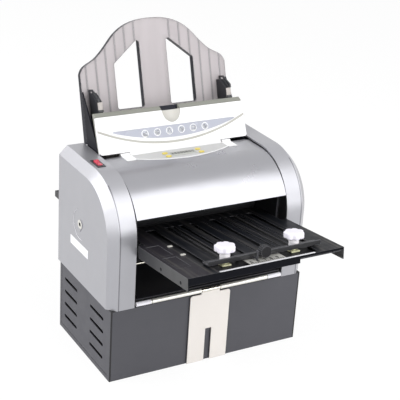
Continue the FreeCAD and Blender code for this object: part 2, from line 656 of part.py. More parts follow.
def base_side(label, outer_sign):
    """A side panel with two columns of vent slots and a shallow seam."""
    outer, inner = "base_width / 2", "base_width / 2 - panel_wall"
    span = (inner, outer) if outer_sign > 0 else mirrored((inner, outer))
    face = outer if outer_sign > 0 else f"-({outer})"
    cut_span = (f"{face} - overrun", f"{face} + overrun")
    groove = (f"{face} - seam_depth", f"{face} + seam_depth")
    plate = box(span, ("-base_depth / 2", "base_depth / 2"), ("0", "base_height"))
    tools = []
    for row in range(int(size("vent_rows"))):
        low = f"vent_first + {row} * vent_pitch - vent_gap / 2"
        high = f"vent_first + {row} * vent_pitch + vent_gap / 2"
        for start, end in (("vent_rear_start", "vent_rear_start + vent_length"),
                           ("-vent_front_end - vent_length", "-vent_front_end")):
            tools.append(box(cut_span, (f"{start} + vent_gap / 2", f"{end} - vent_gap / 2"), (low, high)))
            for end_y in (f"{start} + vent_gap / 2", f"{end} - vent_gap / 2"):
                tools.append(rod("x", "vent_gap / 2", cut_span, (end_y, f"({low} + {high}) / 2")))
    back = "base_depth / 2 - seam_inset"
    tools.append(box(groove, ("-base_depth / 2 + seam_inset", back), ("seam_inset", "seam_inset + seam_width")))
    tools.append(box(groove, (back, f"{back} + seam_width"), ("seam_inset", "base_height - seam_inset")))
    piece(label, cut(plate, *tools))


def base_front():
    half = "base_width / 2 - panel_wall"
    front = "-base_depth / 2"
    piece("base_front_panel", box((f"-({half})", half), (front, f"{front} + panel_wall"), ("0", "base_height")))


def power_inlet():
    low, high = "inlet_x - inlet_width / 2", "inlet_x + inlet_width / 2"
    bottom, top = "inlet_rise - inlet_height / 2", "inlet_rise + inlet_height / 2"
    wall = "base_depth / 2"
    body = box((low, high), (f"{wall} - inlet_depth", wall), (bottom, top))
    flange = box((f"{low} - inlet_border", f"{high} + inlet_border"), (wall, f"{wall} + inlet_flange"),
                 (f"{bottom} - inlet_border / 2", f"{top} + inlet_border / 2"))
    well = box((f"{low} + inlet_lip", f"{high} - inlet_lip"), (f"{wall} + inlet_flange - inlet_well",
               f"{wall} + overrun"), (f"{bottom} + inlet_lip", f"{top} - inlet_lip"))
    blades = [rod("y", "inlet_blade_radius", (f"{wall} - inlet_well", f"{wall}"),
                  (f"inlet_x + {step} * inlet_blade_pitch", "inlet_rise")) for step in (-1, 0, 1)]
    piece("power_inlet", fuse(cut(fuse(body, flange), well), *blades))


def circuit_board():
    x, y = ("-board_length / 2", "board_length / 2"), ("-board_depth / 2", "board_depth / 2")
    top = "panel_wall + board_rise + board_thickness"
    plate = box(x, y, ("panel_wall + board_rise", top))
    chip = box(("-board_shift - board_chip", "-board_shift"), ("-board_chip / 2", "board_chip / 2"),
               (top, f"{top} + board_chip_height"))
    can = rod("z", "can_radius", (top, f"{top} + can_height"), ("board_shift", "0"))
    post_x, post_y = "board_length / 2 - standoff_inset", "board_depth / 2 - standoff_inset"
    posts = [rod("z", "standoff_radius", ("panel_wall", "panel_wall + board_rise"),
                 (sx + f"({post_x})", sy + f"({post_y})")) for sx in ("", "-") for sy in ("", "-")]
    piece("circuit_board", fuse(plate, chip, can, *posts))


# Upper housing


def pod_block(x, inset, bevel):
    """A side cover's solid: a rounded front top corner, and a bevel round its outer face."""
    low, high = x
    front, rear = f"-housing_front + {inset}", f"housing_rear - {inset}"
    bottom, top = "base_height", f"housing_top - {inset}"
    bottom = f"{bottom} + {inset}" if inset != "0" else bottom
    body = pad("YZ", [[(front, bottom), (rear, bottom), (rear, top), (front, top)]], (low, high))
    lowest_front, highest = size(front), size(top)
    soften(body, "Fillet", "Radius", f"housing_round - {inset}",
           lambda edge: along(edge, "x") and near(edge.BoundBox.YMin, lowest_front)
           and near(edge.BoundBox.ZMax, highest))
    outer = size(high) if size(high) > 0 else size(low)
    floor, back = size(bottom), size(rear)
    soften(body, "Chamfer", "Size", bevel,
           lambda edge: near(edge.BoundBox.XMin, outer) and near(edge.BoundBox.XMax, outer)
           and not (near(edge.BoundBox.ZMin, floor) and near(edge.BoundBox.ZMax, floor))
           and not (near(edge.BoundBox.YMin, back) and near(edge.BoundBox.YMax, back)))
    return body


def side_cover(label, side):
    outer, inner = "housing_width / 2", "bay_width / 2"
    shell = (inner, outer)
    hollow = (f"{inner} - overrun", f"{outer} - cover_wall")
    if side < 0:
        shell, hollow = mirrored(shell), mirrored(hollow)
    solid = cut(pod_block(shell, "0", "cover_chamfer"), pod_block(hollow, "cover_wall", "cover_chamfer"))
    tools, extras = [], []
    if side < 0:
        face = f"-{outer}"
        spot = ("dish_y", "dish_z")
        tools.append(rod("x", "dish_radius", (f"{face} - overrun", f"{face} + dish_depth"), spot))
        tools.append(switch_block("switch_width / 2 - bezel_border / 2", "switch_length / 2 - bezel_border / 2",
                                  ("housing_top - switch_body", "housing_top + overrun")))
        extras.append(collar(face))
    shell_cut = cut(solid, *tools) if tools else solid
    piece(label, cut(fuse(shell_cut, *extras), collar_hole(f"-{outer}")) if extras else shell_cut)


def collar(face):
    """The raised teardrop collar in the dish."""
    ring = rod("x", "collar_radius", (f"{face} + dish_depth - collar_stand", f"{face} + cover_wall / 2"),
               ("dish_y", "dish_z"))
    slant = "collar_radius * cos(45)"
    tail = pad("YZ", [[(f"dish_y - {slant}", f"dish_z + {slant}"), ("dish_y - collar_radius", "dish_z"),
                       ("dish_y", "dish_z - collar_tail"), ("dish_y + collar_radius", "dish_z")]],
               (f"{face} + dish_depth - collar_stand", f"{face} + cover_wall / 2"))
    return fuse(ring, tail)


def collar_hole(face):
    return rod("x", "collar_bore", (f"{face} - overrun", f"{face} + overrun"), ("dish_y", "dish_z"))


def switch_block(half_x, half_y, z):
    """A block centred on the power switch."""
    return box((f"-switch_x - ({half_x})", f"-switch_x + ({half_x})"),
               (f"switch_y - ({half_y})", f"switch_y + ({half_y})"), z)


def panel_lens(radius, z, rear, half):
    """The control panel's outline: a straight rear edge and a curved front."""
    disc = rod("z", radius, z, ("0", "panel_radius - panel_front_y"))
    field = box((f"-({half})", half), ("-panel_front_y - overrun", rear), z)
    return common(disc, field)


def front_cover():
    """Curved front, flat top, and an opening under the control panel."""
    half = "bay_width / 2 - hood_gap"
    x = (f"-({half})", half)
    centre = ("-hood_bend_y", "hood_top - hood_radius")
    ring = cut(rod("x", "hood_radius", x, centre),
               rod("x", "hood_radius - hood_wall", (f"-({half}) - overrun", f"{half} + overrun"), centre))
    quadrant = box(x, ("-hood_bend_y - hood_radius - overrun", "-hood_bend_y"), ("hood_lip_z", "hood_top + overrun"))
    top = box(x, ("-hood_bend_y", "hood_rear_y"), ("hood_top - hood_wall", "hood_top"))
    opening = panel_lens("panel_radius - panel_rim", ("hood_top - hood_wall - overrun", "hood_top + overrun"),
                         "panel_rear_y - panel_rim", "block_inner - panel_rim")
    notches = [box(span, ("hood_rear_y - hood_notch / 2", "hood_rear_y + overrun"),
                   ("hood_top - hood_wall - overrun", "hood_top + overrun"))
               for _, span in sides((f"{half} - hood_notch", f"{half} + overrun"))]
    piece("front_cover", cut(fuse(common(ring, quadrant), top), opening, *notches))


def rear_cover():
    half = "bay_width / 2 - hood_gap"
    plate = box((f"-({half})", half), ("housing_rear - rear_wall", "housing_rear"),
                ("base_height", "rear_top"))
    slot = box(("-rear_slot_half + overrun", "rear_slot_half - overrun"), ("housing_rear - overrun",
               "housing_rear + overrun"), ("rear_slot_low", "rear_slot_high"))
    piece("rear_cover", cut(plate, slot))


# Side frames, ties and rollers


def roller_height(number):
    """Centre height of fold roller 1 (top) to 4 (bottom), as an expression."""
    return f"first_nip + nip_gap / 2 + roller_radius - {number - 1} * (2 * roller_radius + nip_gap)"


def shaft_spots():
    """Centre and radius of every shaft that the frames carry."""
    rollers = [("-roller_y", roller_height(number), "shaft_radius") for number in (1, 2, 3, 4)]
    return rollers + [("feed_y", "feed_z", "feed_shaft_radius")]


def side_frames():
    base = "base_height"
    corners = [("-frame_front", base), ("frame_rear", base), ("frame_rear", "frame_shoulder"),
               ("frame_step_y", "frame_shoulder"), ("frame_step_y", "frame_top"), ("-frame_crown_y", "frame_top"),
               ("-frame_slope_y", "frame_slope_z"), ("-frame_front", "frame_cheek")]
    for name, span in sides(("frame_inner", "frame_inner + frame_wall")):
        wide = (f"{span[0]} - overrun", f"{span[1]} + overrun")
        bores = [rod("x", "bush_radius", wide, (y, z)) for y, z, _ in shaft_spots()]
        bores.append(rod("x", "motor_shaft_radius + overrun / 2", wide, ("motor_y", "motor_z")))
        piece(f"{name}_frame", cut(pad("YZ", [corners], span), *bores))


def tie_rods():
    x = ("-frame_inner", "frame_inner")
    spots = [("-tie_front_y", "tie_low_z"), ("-tie_front_y", "tie_high_z"), ("tie_rear_y", "tie_low_z")]
    rods = [rod("x", "tie_radius", x, spot) for spot in spots]
    rods.append(rod("x", "guide_rod_radius", x, ("-guide_rod_y", "guide_rod_z")))
    piece("tie_rods", group(*rods))


def shaft_bushes():
    """A flanged bush in each frame for each shaft."""
    bushes = []
    for y, z, radius in shaft_spots():
        flange = ("frame_inner + frame_wall", "frame_inner + frame_wall + bush_flange_width")
        for _, span in sides(("frame_inner", "frame_inner + frame_wall + bush_stand")):
            side_flange = flange if size(span[1]) > 0 else mirrored(flange)
            ring = fuse(rod("x", "bush_radius", span, (y, z)), rod("x", "bush_flange", side_flange, (y, z)))
            bore = (f"{span[0]} - overrun", f"{span[1]} + overrun")
            bushes.append(cut(ring, rod("x", f"{radius} + shaft_play", bore, (y, z))))
    piece("shaft_bushes", group(*bushes))


def gear_shape(phase):
    """An involute spur gear whose pitch circle is half the spacing of the rollers."""
    teeth = int(size("gear_teeth"))
    pitch = size("roller_radius + nip_gap / 2")
    module = 2 * pitch / teeth
    root, tip = pitch - 1.25 * module, pitch + module
    base = pitch * math.cos(math.radians(20))
    flank_shift = math.pi / (2 * teeth) - size("gear_backlash") / pitch

    def involute(radius):
        if radius <= base:
            return 0
        angle = math.acos(base / radius)
        return math.tan(angle) - angle

    start = max(root, base)
    steps = 4
    radii = [start + (tip - start) * step / steps for step in range(steps + 1)]
    half_angles = [flank_shift + involute(pitch) - involute(radius) for radius in radii]
    points = []
    for tooth in range(teeth):
        middle = 2 * math.pi * (tooth + phase) / teeth
        flank = [(root, half_angles[0])] + list(zip(radii, half_angles))
        points += [(radius, middle - half) for radius, half in flank]
        points += [(radius, middle + half) for radius, half in reversed(flank)]
    start_x = -size("gear_start + gear_width")
    ring = [FreeCAD.Vector(start_x, radius * math.sin(angle), radius * math.cos(angle)) for radius, angle in points]
    face = Part.Face(Part.makePolygon(ring + ring[:1]))
    return face.extrude(FreeCAD.Vector(size("gear_width"), 0, 0))


def pulley(radius, y, z):
    """A flanged belt pulley in the right side cover."""
    start, end = "gear_start", "gear_start + gear_width"
    drum = rod("x", radius, (start, end), (y, z))
    rims = [rod("x", f"{radius} + pulley_rim", (edge, f"{edge} + pulley_rim_width"), (y, z))
            for edge in (f"{start} - pulley_rim_width", end)]
    return fuse(drum, *rims)


def fold_rollers():
    """Four rollers one above the other, geared together at the left."""
    for number in (1, 2, 3, 4):
        spot = ("-roller_y", roller_height(number))
        belted = number in (1, 4)
        right_end = "gear_start + gear_width + pulley_rim_width" if belted else "gear_start - pulley_rim_width"
        shaft = rod("x", "shaft_radius", ("-gear_start - gear_width", right_end), spot)
        barrel = rod("x", "roller_radius", ("-roller_half", "roller_half"), spot)
        gear = copy_of(gear_shape(0 if number % 2 else 1 / 2))
        bind(gear, "Placement.Base.y", spot[0])
        bind(gear, "Placement.Base.z", spot[1])
        parts = [shaft, barrel, gear] + ([pulley("pulley_radius", *spot)] if belted else [])
        piece(f"fold_roller_{number}", fuse(*parts))


def feed_roller():
    spot = ("feed_y", "feed_z")
    shaft = rod("x", "feed_shaft_radius", ("-frame_inner - frame_wall - bush_stand - overrun / 2",
                                           "gear_start + gear_width + pulley_rim_width"), spot)
    tyre = rod("x", "feed_radius", ("-feed_half", "feed_half"), spot)
    piece("feed_roller", fuse(shaft, tyre, pulley("pulley_radius", *spot)))


def belt_shape(first, first_radius, second, second_radius):
    """A closed flat belt round two pulleys, clear of both by the belt gap."""
    (y1, z1), (y2, z2) = first, second
    length = math.hypot(y2 - y1, z2 - z1)
    line = math.atan2(z2 - z1, y2 - y1)
    width = size("gear_width") - 2 * size("belt_gap")
    start_x = size("gear_start") + size("belt_gap")

    def hull(radius1, radius2):
        open_angle = math.acos((radius1 - radius2) / length)
        corners = []
        for (y, z), radius, turn in (((y1, z1), radius1, open_angle), ((y2, z2), radius2, open_angle),
                                     ((y2, z2), radius2, -open_angle), ((y1, z1), radius1, -open_angle)):
            angle = line + turn
            corners.append(FreeCAD.Vector(start_x, y + radius * math.cos(angle), z + radius * math.sin(angle)))
        face = Part.Face(Part.makePolygon(corners + corners[:1]))
        run = face.extrude(FreeCAD.Vector(width, 0, 0))
        ends = [Part.makeCylinder(radius, width, FreeCAD.Vector(start_x, y, z), FreeCAD.Vector(1, 0, 0))
                for (y, z), radius in (((y1, z1), radius1), ((y2, z2), radius2))]
        return run.fuse(ends)

    inner = size("belt_gap")
    outer = inner + size("belt_wall")
    return hull(first_radius + outer, second_radius + outer).cut(hull(first_radius + inner, second_radius + inner))


def belts():
    top = (-size("roller_y"), size(roller_height(1)))
    bottom = (-size("roller_y"), size(roller_height(4)))
    drum = size("pulley_radius")
    piece("feed_belt", copy_of(belt_shape(top, drum, (size("feed_y"), size("feed_z")), drum)))
    piece("drive_belt", copy_of(belt_shape(bottom, drum, (size("motor_y"), size("motor_z")),
                                           size("motor_pulley_radius"))))


def motor():
    spot = ("motor_y", "motor_z")
    face = "frame_inner"
    can = rod("x", "motor_radius", (f"{face} - motor_flange - motor_length", f"{face} - motor_flange"), spot)
    flange = box((f"{face} - motor_flange", face), ("motor_y - motor_radius", "motor_y + motor_radius"),
                 ("motor_z - motor_radius", "motor_z + motor_radius"))
    bore = rod("x", "motor_shaft_radius + shaft_play", (f"{face} - motor_length / 2", f"{face} + overrun"), spot)
    piece("motor", cut(fuse(can, flange), bore))
    shaft = rod("x", "motor_shaft_radius", (f"{face} - motor_length / 2 + overrun",
                                            "gear_start + gear_width + pulley_rim_width"), spot)
    piece("motor_pulley", fuse(shaft, pulley("motor_pulley_radius", *spot)))


# Hopper, paper support and side guides


def hopper_tray():
    """Black sheet tray: floor, front wall, chute, cheeks with their gussets, and a channel behind the support."""
    floor_top = "tray_seat + tray_wall"
    half = "cheek_inner"
    lean = "tan(support_lean)"
    foot_y = f"support_y - (housing_top - tray_seat) * {lean}"
    floor = box((f"-{half}", half), ("tray_slot_y", "housing_rear - rear_wall - seat_gap"), ("tray_seat", floor_top))
    feed_slot = box(("-feed_half - feed_slot_margin", "feed_half + feed_slot_margin"),
                    ("feed_y - feed_radius - feed_slot_margin", "feed_y + feed_radius + feed_slot_margin"),
                    ("tray_seat - overrun", f"{floor_top} + overrun"))
    front = box((f"-{half}", half), ("tray_front_y", "tray_front_y + tray_wall"), ("tray_seat", "tray_front_top"))
    chute = pad("YZ", [[("tray_slot_y", f"{floor_top}"), ("tray_slot_y", "tray_seat"),
                        ("chute_end_y", "chute_end_z"), ("chute_end_y + tray_wall", "chute_end_z"),
                        ("tray_slot_y + 2 * tray_wall", "tray_seat")]], ("-tongue_half", "tongue_half"))
    pieces = [cut(floor, feed_slot), front, cut(chute, chute_notch())]
    for _, span in sides((half, "cheek_outer")):
        pieces.append(cheek(span, foot_y))
    behind = "support_wall / cos(support_lean)"
    channel = pad("YZ", [[(f"{foot_y} + {behind}", "tray_seat"), (f"{foot_y} + {behind} + tray_wall", "tray_seat"),
                          (f"support_y + {behind} + tray_wall", "housing_top"),
                          (f"support_y + {behind}", "housing_top")]], (f"-{half}", half))
    top_cut = box((f"-{half} - overrun", f"{half} + overrun"), ("housing_rear - rear_wall - seat_gap",
                  "housing_rear + 4 * overrun"), ("tray_seat", "housing_top + overrun"))
    piece("hopper_tray", cut(fuse(*pieces, channel), top_cut))


def chute_notch():
    """Room for the feed roller behind the chute's upper end."""
    return box(("-feed_half - feed_slot_margin", "feed_half + feed_slot_margin"),
               ("feed_y - feed_radius - feed_slot_margin", "feed_y"),
               ("feed_z - feed_radius - feed_slot_margin", "tray_seat + tray_wall + overrun"))


def cheek(span, foot_y):
    """A side cheek of the hopper with the gusset that rises beside the paper."""
    lean = "tan(support_lean)"
    front_gap = "guide_gap / cos(support_lean)"
    return pad("YZ", [[("tray_front_y", "tray_seat"), (f"{foot_y} - {front_gap}", "tray_seat"),
                       (f"support_y + gusset_height * sin(support_lean) - {front_gap}",
                        "housing_top + gusset_height * cos(support_lean)"),
                       ("support_y - gusset_reach * cos(support_lean) + seat_gap",
                        "housing_top + gusset_reach * sin(support_lean)"),
                       ("lid_y + lid_inner_depth + panel_rim", "lid_z - lid_inner_depth / 2"),
                       ("tray_front_y + 2 * tray_wall", "tray_front_top"),
                       ("tray_front_y", "tray_front_top")]], span)


def paper_support():
    """Smoky plastic plate with two windows, rounded shoulders and rib lines."""
    rise = "(support_height - support_side)"
    right = [(f"{x} * support_half", f"support_side + {z} * {rise}") for x, z in SHOULDER_SHARES]
    left = [(f"-({u})", v) for u, v in reversed(right[:-1])]
    bottom = [("-support_half", "0"), ("-support_foot_half", "0"), ("-support_foot_half", "-support_foot"),
              ("support_foot_half", "-support_foot"), ("support_foot_half", "0"), ("support_half", "0")]
    window = [("window_inner", "window_low"), ("window_outer", "window_low"),
              ("window_outer", "window_high_outer"), ("window_inner", "window_high_inner")]
    mirror = [(f"-({u})", v) for u, v in window]
    body = pad("XZ", [right + left + bottom, window, mirror], ("0", "support_wall"))
    inner, outer = size("window_inner"), size("window_outer")
    low, high = size("window_low"), size("window_high_inner")
    soften(body, "Fillet", "Radius", "window_round",
           lambda edge: along(edge, "y")
           and (near(abs(edge.BoundBox.Center.x), inner) or near(abs(edge.BoundBox.Center.x), outer))
           and low - size("overrun") < edge.BoundBox.Center.z < high + size("overrun"))
    ribs = []
    for number in range(int(size("rib_count"))):
        x = f"rib_first + {number} * rib_pitch"
        for _, span in sides((f"{x} - rib_width / 2", f"{x} + rib_width / 2")):
            ribs.append(box(span, ("-rib_stand", "support_wall / 2"), ("0", "support_height")))
    plate = pad("XZ", [right + left + bottom, window, mirror], ("-rib_stand", "support_wall / 2"))
    piece("paper_support", fuse(body, common(fuse(*ribs), plate), *support_rims()), "support")


def support_outline(inset, low):
    """The support above a height, its outline drawn in by the inset on the sides and the top."""
    half, side = f"(support_half - {inset})", f"(support_side - {inset})"
    rise = "(support_height - support_side)"
    right = [(f"{x} * {half}", f"{side} + {z} * {rise}") for x, z in SHOULDER_SHARES]
    left = [(f"-({u})", v) for u, v in reversed(right[:-1])]
    return right + left + [(f"-{half}", low), (half, low)]


def support_rims():
    """Rims on the rear: round the outline, deeper down the straight sides, and round each window."""
    past = ("support_wall - overrun", "support_wall + rim_depth + overrun")
    rims = [cut(pad("XZ", [support_outline("0", "0")], ("support_wall", "support_wall + rim_depth")),
                pad("XZ", [support_outline("rim_wall", "-overrun")], past))]
    flange = [("support_wall", "0"), ("support_wall + flange_depth", "0"),
              ("support_wall + rim_depth", "support_side"), ("support_wall", "support_side")]
    for _, span in sides(("support_half - rim_wall", "support_half")):
        rims.append(pad("YZ", [flange], span))
    window = [("window_inner", "window_low"), ("window_outer", "window_low"),
              ("window_outer", "window_high_outer"), ("window_inner", "window_high_inner")]
    ring = [("window_inner - rim_wall", "window_low - rim_wall"), ("window_outer + rim_wall", "window_low - rim_wall"),
            ("window_outer + rim_wall", "window_high_outer + rim_wall"),
            ("window_inner - rim_wall", "window_high_inner + rim_wall")]
    for sign in ("", "-"):
        outlines = [[(f"{sign}({u})", v) for u, v in points] for points in (ring, window)]
        rims.append(pad("XZ", outlines, ("support_wall", "support_wall + window_rim")))
    return rims


def side_guide(name, span):
    """A sliding side guide: blade, block, post and top bar, and a lug on the rail."""
    front = "-guide_gap"
    blade_x = outer_edge(span, "guide_wall")
    blade = pad("YZ", [[(front, "-rail_drop - guide_lug_radius"), (front, "guide_block_low"),
                        (f"{front} - guide_stem / 2", "guide_block_low"),
                        (f"{front} - guide_stem", "0"), (f"{front} - guide_stem", "-rail_drop - guide_lug_radius")]],
                blade_x)
    block = pad("YZ", [[(front, "guide_block_low"), (front, "guide_block_top - guide_arm_gap"),
                        (f"{front} - guide_stem", "guide_block_top - guide_arm_gap"),
                        (f"{front} - guide_block_depth", "guide_block_nose - guide_arm_gap"),
                        (f"{front} - guide_block_depth", "guide_block_low")]], span)
    bar = pad("YZ", [[(front, "guide_block_low"), (front, "guide_block_top + guide_arm"),
                      (f"{front} - guide_stem", "guide_block_top + guide_arm"),
                      (f"{front} - guide_block_depth - guide_arm_gap", "guide_block_nose + guide_arm"),
                      (f"{front} - guide_block_depth - guide_arm_gap", "guide_block_nose - guide_arm"),
                      (f"{front} - guide_block_depth", "guide_block_nose"),
                      (f"{front} - guide_stem", "guide_block_top"), (f"{front} - guide_arm", "guide_block_top"),
                      (f"{front} - guide_arm", "guide_block_low")]], outer_edge(span, "guide_arm"))
    foot = box(span, (f"{front} - guide_block_depth - guide_arm_gap", f"{front} - guide_block_depth"),
               ("guide_foot_low", "guide_plate_low"))
    plate = box(span, (f"{front} - guide_block_depth - guide_plate", f"{front} - guide_block_depth"),
                ("guide_plate_low", "guide_plate_high"))
    lug = rod("x", "guide_lug_radius", span, ("-rail_forward", "-rail_drop"))
    bore = rod("x", "rail_radius + shaft_play", (f"{span[0]} - overrun", f"{span[1]} + overrun"),
               ("-rail_forward", "-rail_drop"))
    piece(f"{name}_guide", cut(fuse(blade, block, bar, foot, plate, lug), bore), "support")


def outer_edge(span, wall):
    """The outermost part of a span of X, as thick as the wall."""
    low, high = span
    return (f"{high} - {wall}", high) if size(high) > 0 else (low, f"{low} + {wall}")


def guide_rail():
    piece("guide_rail", rod("x", "rail_radius", ("-cheek_inner", "cheek_inner"), ("-rail_forward", "-rail_drop")),
          "support")


# Lid


def lid_outer():
    """White shell with the groove, the label recess, the thumb notch and the hinge knuckle."""
    face = [("-lid_half", "0"), ("lid_half", "0"), ("lid_half_top", "lid_height"), ("-lid_half_top", "lid_height")]
    body = pad("XZ", [face], ("0", "lid_shell"))
    half = size("lid_half")
    soften(body, "Fillet", "Radius", "lid_round",
           lambda edge: along(edge, "y") and near(abs(edge.BoundBox.Center.x), half))
    centre = ("0", "lid_groove_low + lid_groove_radius")
    depth = ("-overrun", "lid_groove_depth")
    ring = cut(rod("y", "lid_groove_radius + lid_groove_width / 2", depth, centre),
               rod("y", "lid_groove_radius - lid_groove_width / 2", ("-2 * overrun", "2 * overrun"), centre))
    label = common(rod("y", "label_radius", ("-overrun", "label_depth"), ("label_x", "label_low + label_radius")),
                   box(("label_x - label_half", "label_x + label_half"), ("-overrun", "label_depth"),
                       ("label_low - overrun", "label_top")))
    piece("lid_outer", cut(fuse(body, knuckle()), ring, label, thumb_notch(), pin_bores("lid_pin_radius")), "lid")


def knuckle_place():
    """The lid's hinge axis in the lid's own frame: depth behind the face and height up the slope."""
    dy, dz = "(lid_pivot_y - lid_y)", "(lid_pivot_z - lid_z)"
    depth = f"({dy} * cos(lid_lean) - {dz} * sin(lid_lean))"
    rise = f"({dy} * sin(lid_lean) + {dz} * cos(lid_lean))"
    return depth, rise


def knuckle():
    depth, rise = knuckle_place()
    x = ("-knuckle_half", "knuckle_half")
    web = box(x, (f"{depth} - knuckle_web / 2", f"{depth} + knuckle_web / 2"), (rise, "0"))
    return fuse(rod("x", "knuckle_radius", x, (depth, rise)), web)


def pin_bores(radius):
    depth, rise = knuckle_place()
    return fuse(*[rod("x", radius, span, (depth, rise)) for _, span in sides(("lid_pin_start", "lid_pin_end"))])


def thumb_notch():
    """The scooped hollow at the lid's top edge."""
    scoop = doc.addObject("Part::Ellipsoid", "Scoop")
    bind(scoop, "Radius2", "notch_half")
    bind(scoop, "Radius3", "notch_depth")
    bind(scoop, "Radius1", "notch_drop")
    bind(scoop, "Placement.Base.z", "lid_height")
    return scoop


def lid_inner():
    """Grey back shell; its bevelled top edge shows above the white one and is cut away at the thumb notch."""
    front = "lid_shell"
    body = pad("YZ", [[(front, "overrun / 2"), (front, "lid_height + lid_seam"), ("lid_seam", "lid_height + lid_seam"),
                       ("lid_shell", "lid_inner_height"), ("lid_inner_depth", "lid_inner_height"),
                       ("lid_inner_depth", "overrun / 2")]], ("-lid_inner_half", "lid_inner_half"))
    gap = box(("-notch_half", "notch_half"), ("-overrun", "notch_depth"),
              ("lid_height", "lid_inner_height + overrun"))
    piece("lid_inner", cut(body, thumb_notch(), gap), "lid")


def lid_pins():
    piece("lid_hinge_pins", group(*pin_bores("lid_pin_radius").Shapes), "lid")


# Control panel and switch


def control_panel():
    """White rim with the two hinge blocks, the panel plate, display and buttons."""
    z = ("hood_top", "hood_top + panel_rim_height")
    rim = cut(panel_lens("panel_radius", z, "panel_rear_y", "block_inner"),
              panel_lens("panel_radius - panel_rim", ("hood_top - overrun", "hood_top + overrun"),
                         "panel_rear_y - panel_rim", "block_inner - panel_rim"))
    blocks = []
    for _, span in sides(("block_inner", "block_outer")):
        barrel = rod("x", "block_radius", span, ("lid_pivot_y", "lid_pivot_z"))
        behind = box(span, ("hood_rear_y + seat_gap", "lid_pivot_y + 2 * block_radius"),
                     ("tray_front_top + seat_gap", "lid_pivot_z + 2 * block_radius"))
        above = box(span, ("hood_rear_y - block_radius", "lid_pivot_y + 2 * block_radius"),
                    ("hood_top", "lid_pivot_z + 2 * block_radius"))
        wedge = box(span, ("block_front_y", "lid_pivot_y"), ("hood_top", "hood_top + panel_rim_height"))
        bore = rod("x", "lid_pin_radius + shaft_play", (f"{span[0]} - overrun", f"{span[1]} + overrun"),
                   ("lid_pivot_y", "lid_pivot_z"))
        blocks.append(cut(fuse(common(barrel, fuse(behind, above)), wedge), bore))
    piece("control_panel_rim", fuse(rim, *blocks))
    deck = ("hood_top + panel_stand - panel_thickness", "hood_top + panel_stand")
    plate = panel_lens("panel_radius - panel_rim", deck, "panel_rear_y - panel_rim", "block_inner - panel_rim")
    holes = [button_shape("button_gap", ("hood_top - 2 * overrun", "hood_top + overrun"), x, y)
             for _, x, y in button_spots()]
    piece("control_panel_plate", cut(plate, *holes))
    piece("lcd_window", box(("-lcd_half", "lcd_half"), ("lcd_front_y", "lcd_rear_y"),
                            (deck[1], f"{deck[1]} + lcd_stand")))
    for number, (name, x, y) in enumerate(button_spots(), start=1):
        top = f"{deck[1]} + button_stand"
        piece(f"button_{name}", button_shape("0", (f"{top} - button_height", top), x, y))


def button_spots():
    return [("left_rear", "-button_x", "button_rear_y"), ("left_front", "-button_x", "button_front_y"),
            ("right_rear", "button_x", "button_rear_y"), ("right_front", "button_x", "button_front_y")]


def button_shape(gap, z, x, y):
    """An oval: two round ends joined by a block."""
    radius = f"button_depth / 2 + {gap}"
    shift = "(button_length - button_depth) / 2"
    ends = [rod("z", radius, z, (f"{x} {sign} {shift}", y)) for sign in ("-", "+")]
    middle = box((f"{x} - {shift}", f"{x} + {shift}"), (f"{y} - ({radius})", f"{y} + ({radius})"), z)
    return fuse(*ends, middle)


def power_switch():
    """A bezel set in the left cover, with a rocker that tips on a pin."""
    half_x, half_y = "switch_width / 2", "switch_length / 2"
    top = "housing_top + bezel_stand"
    flange = switch_block(half_x, half_y, ("housing_top", top))
    body = switch_block(f"{half_x} - bezel_border / 2 - seat_gap / 2", f"{half_y} - bezel_border / 2 - seat_gap / 2",
                        ("housing_top - switch_body", "housing_top"))
    hole_x, hole_y = f"{half_x} - bezel_border", f"{half_y} - bezel_end"
    well = switch_block(hole_x, hole_y, (f"{top} - rocker_drop - rocker_depth / 2", f"{top} + overrun"))
    pivot = ("switch_y", f"{top} - rocker_drop / 2")
    pin_hole = rod("x", "rocker_pin_radius + shaft_play", (f"-switch_x - {half_x} + bezel_border / 2 + seat_gap",
                                                           f"-switch_x + {half_x} - bezel_border / 2 - seat_gap"), pivot)
    piece("switch_bezel", cut(fuse(flange, body), well, pin_hole))
    reach, side = f"({hole_y} - rocker_gap)", f"({hole_x} - rocker_gap / 2)"
    rise = "rocker_drop / 2"
    rocker = pad("YZ", [[(f"-{reach}", f"{rise} + rocker_dip"), ("-rocker_heel", f"{rise} - rocker_depth / 2"),
                         ("0", f"{rise} - rocker_depth"), ("rocker_heel", f"{rise} - rocker_depth / 2"),
                         (reach, f"{rise} + rocker_dip"), ("rocker_crest", f"{rise} + rocker_stand"),
                         ("0", f"{rise} + rocker_dip"), ("-rocker_crest", f"{rise} + rocker_stand")]],
                 (f"-{side}", side))
    pin = rod("x", "rocker_pin_radius", (f"-{side} - bezel_border / 4", f"{side} + bezel_border / 4"), ("0", "0"))
    piece("switch_rocker", fuse(rocker, pin), "rocker")


# Fold plates


def plate_slots(slot_start, slot_end):
    """The long slots that the paper stop's fingers and screws run in."""
    slots = []
    for middle_share, width_share in SLOT_SHARES:
        x = (f"({middle_share} - {width_share} / 2) * plate_half", f"({middle_share} + {width_share} / 2) * plate_half")
        slots.append(box(x, (slot_start, slot_end), ("-plate_wall - overrun", "overrun")))
    return slots


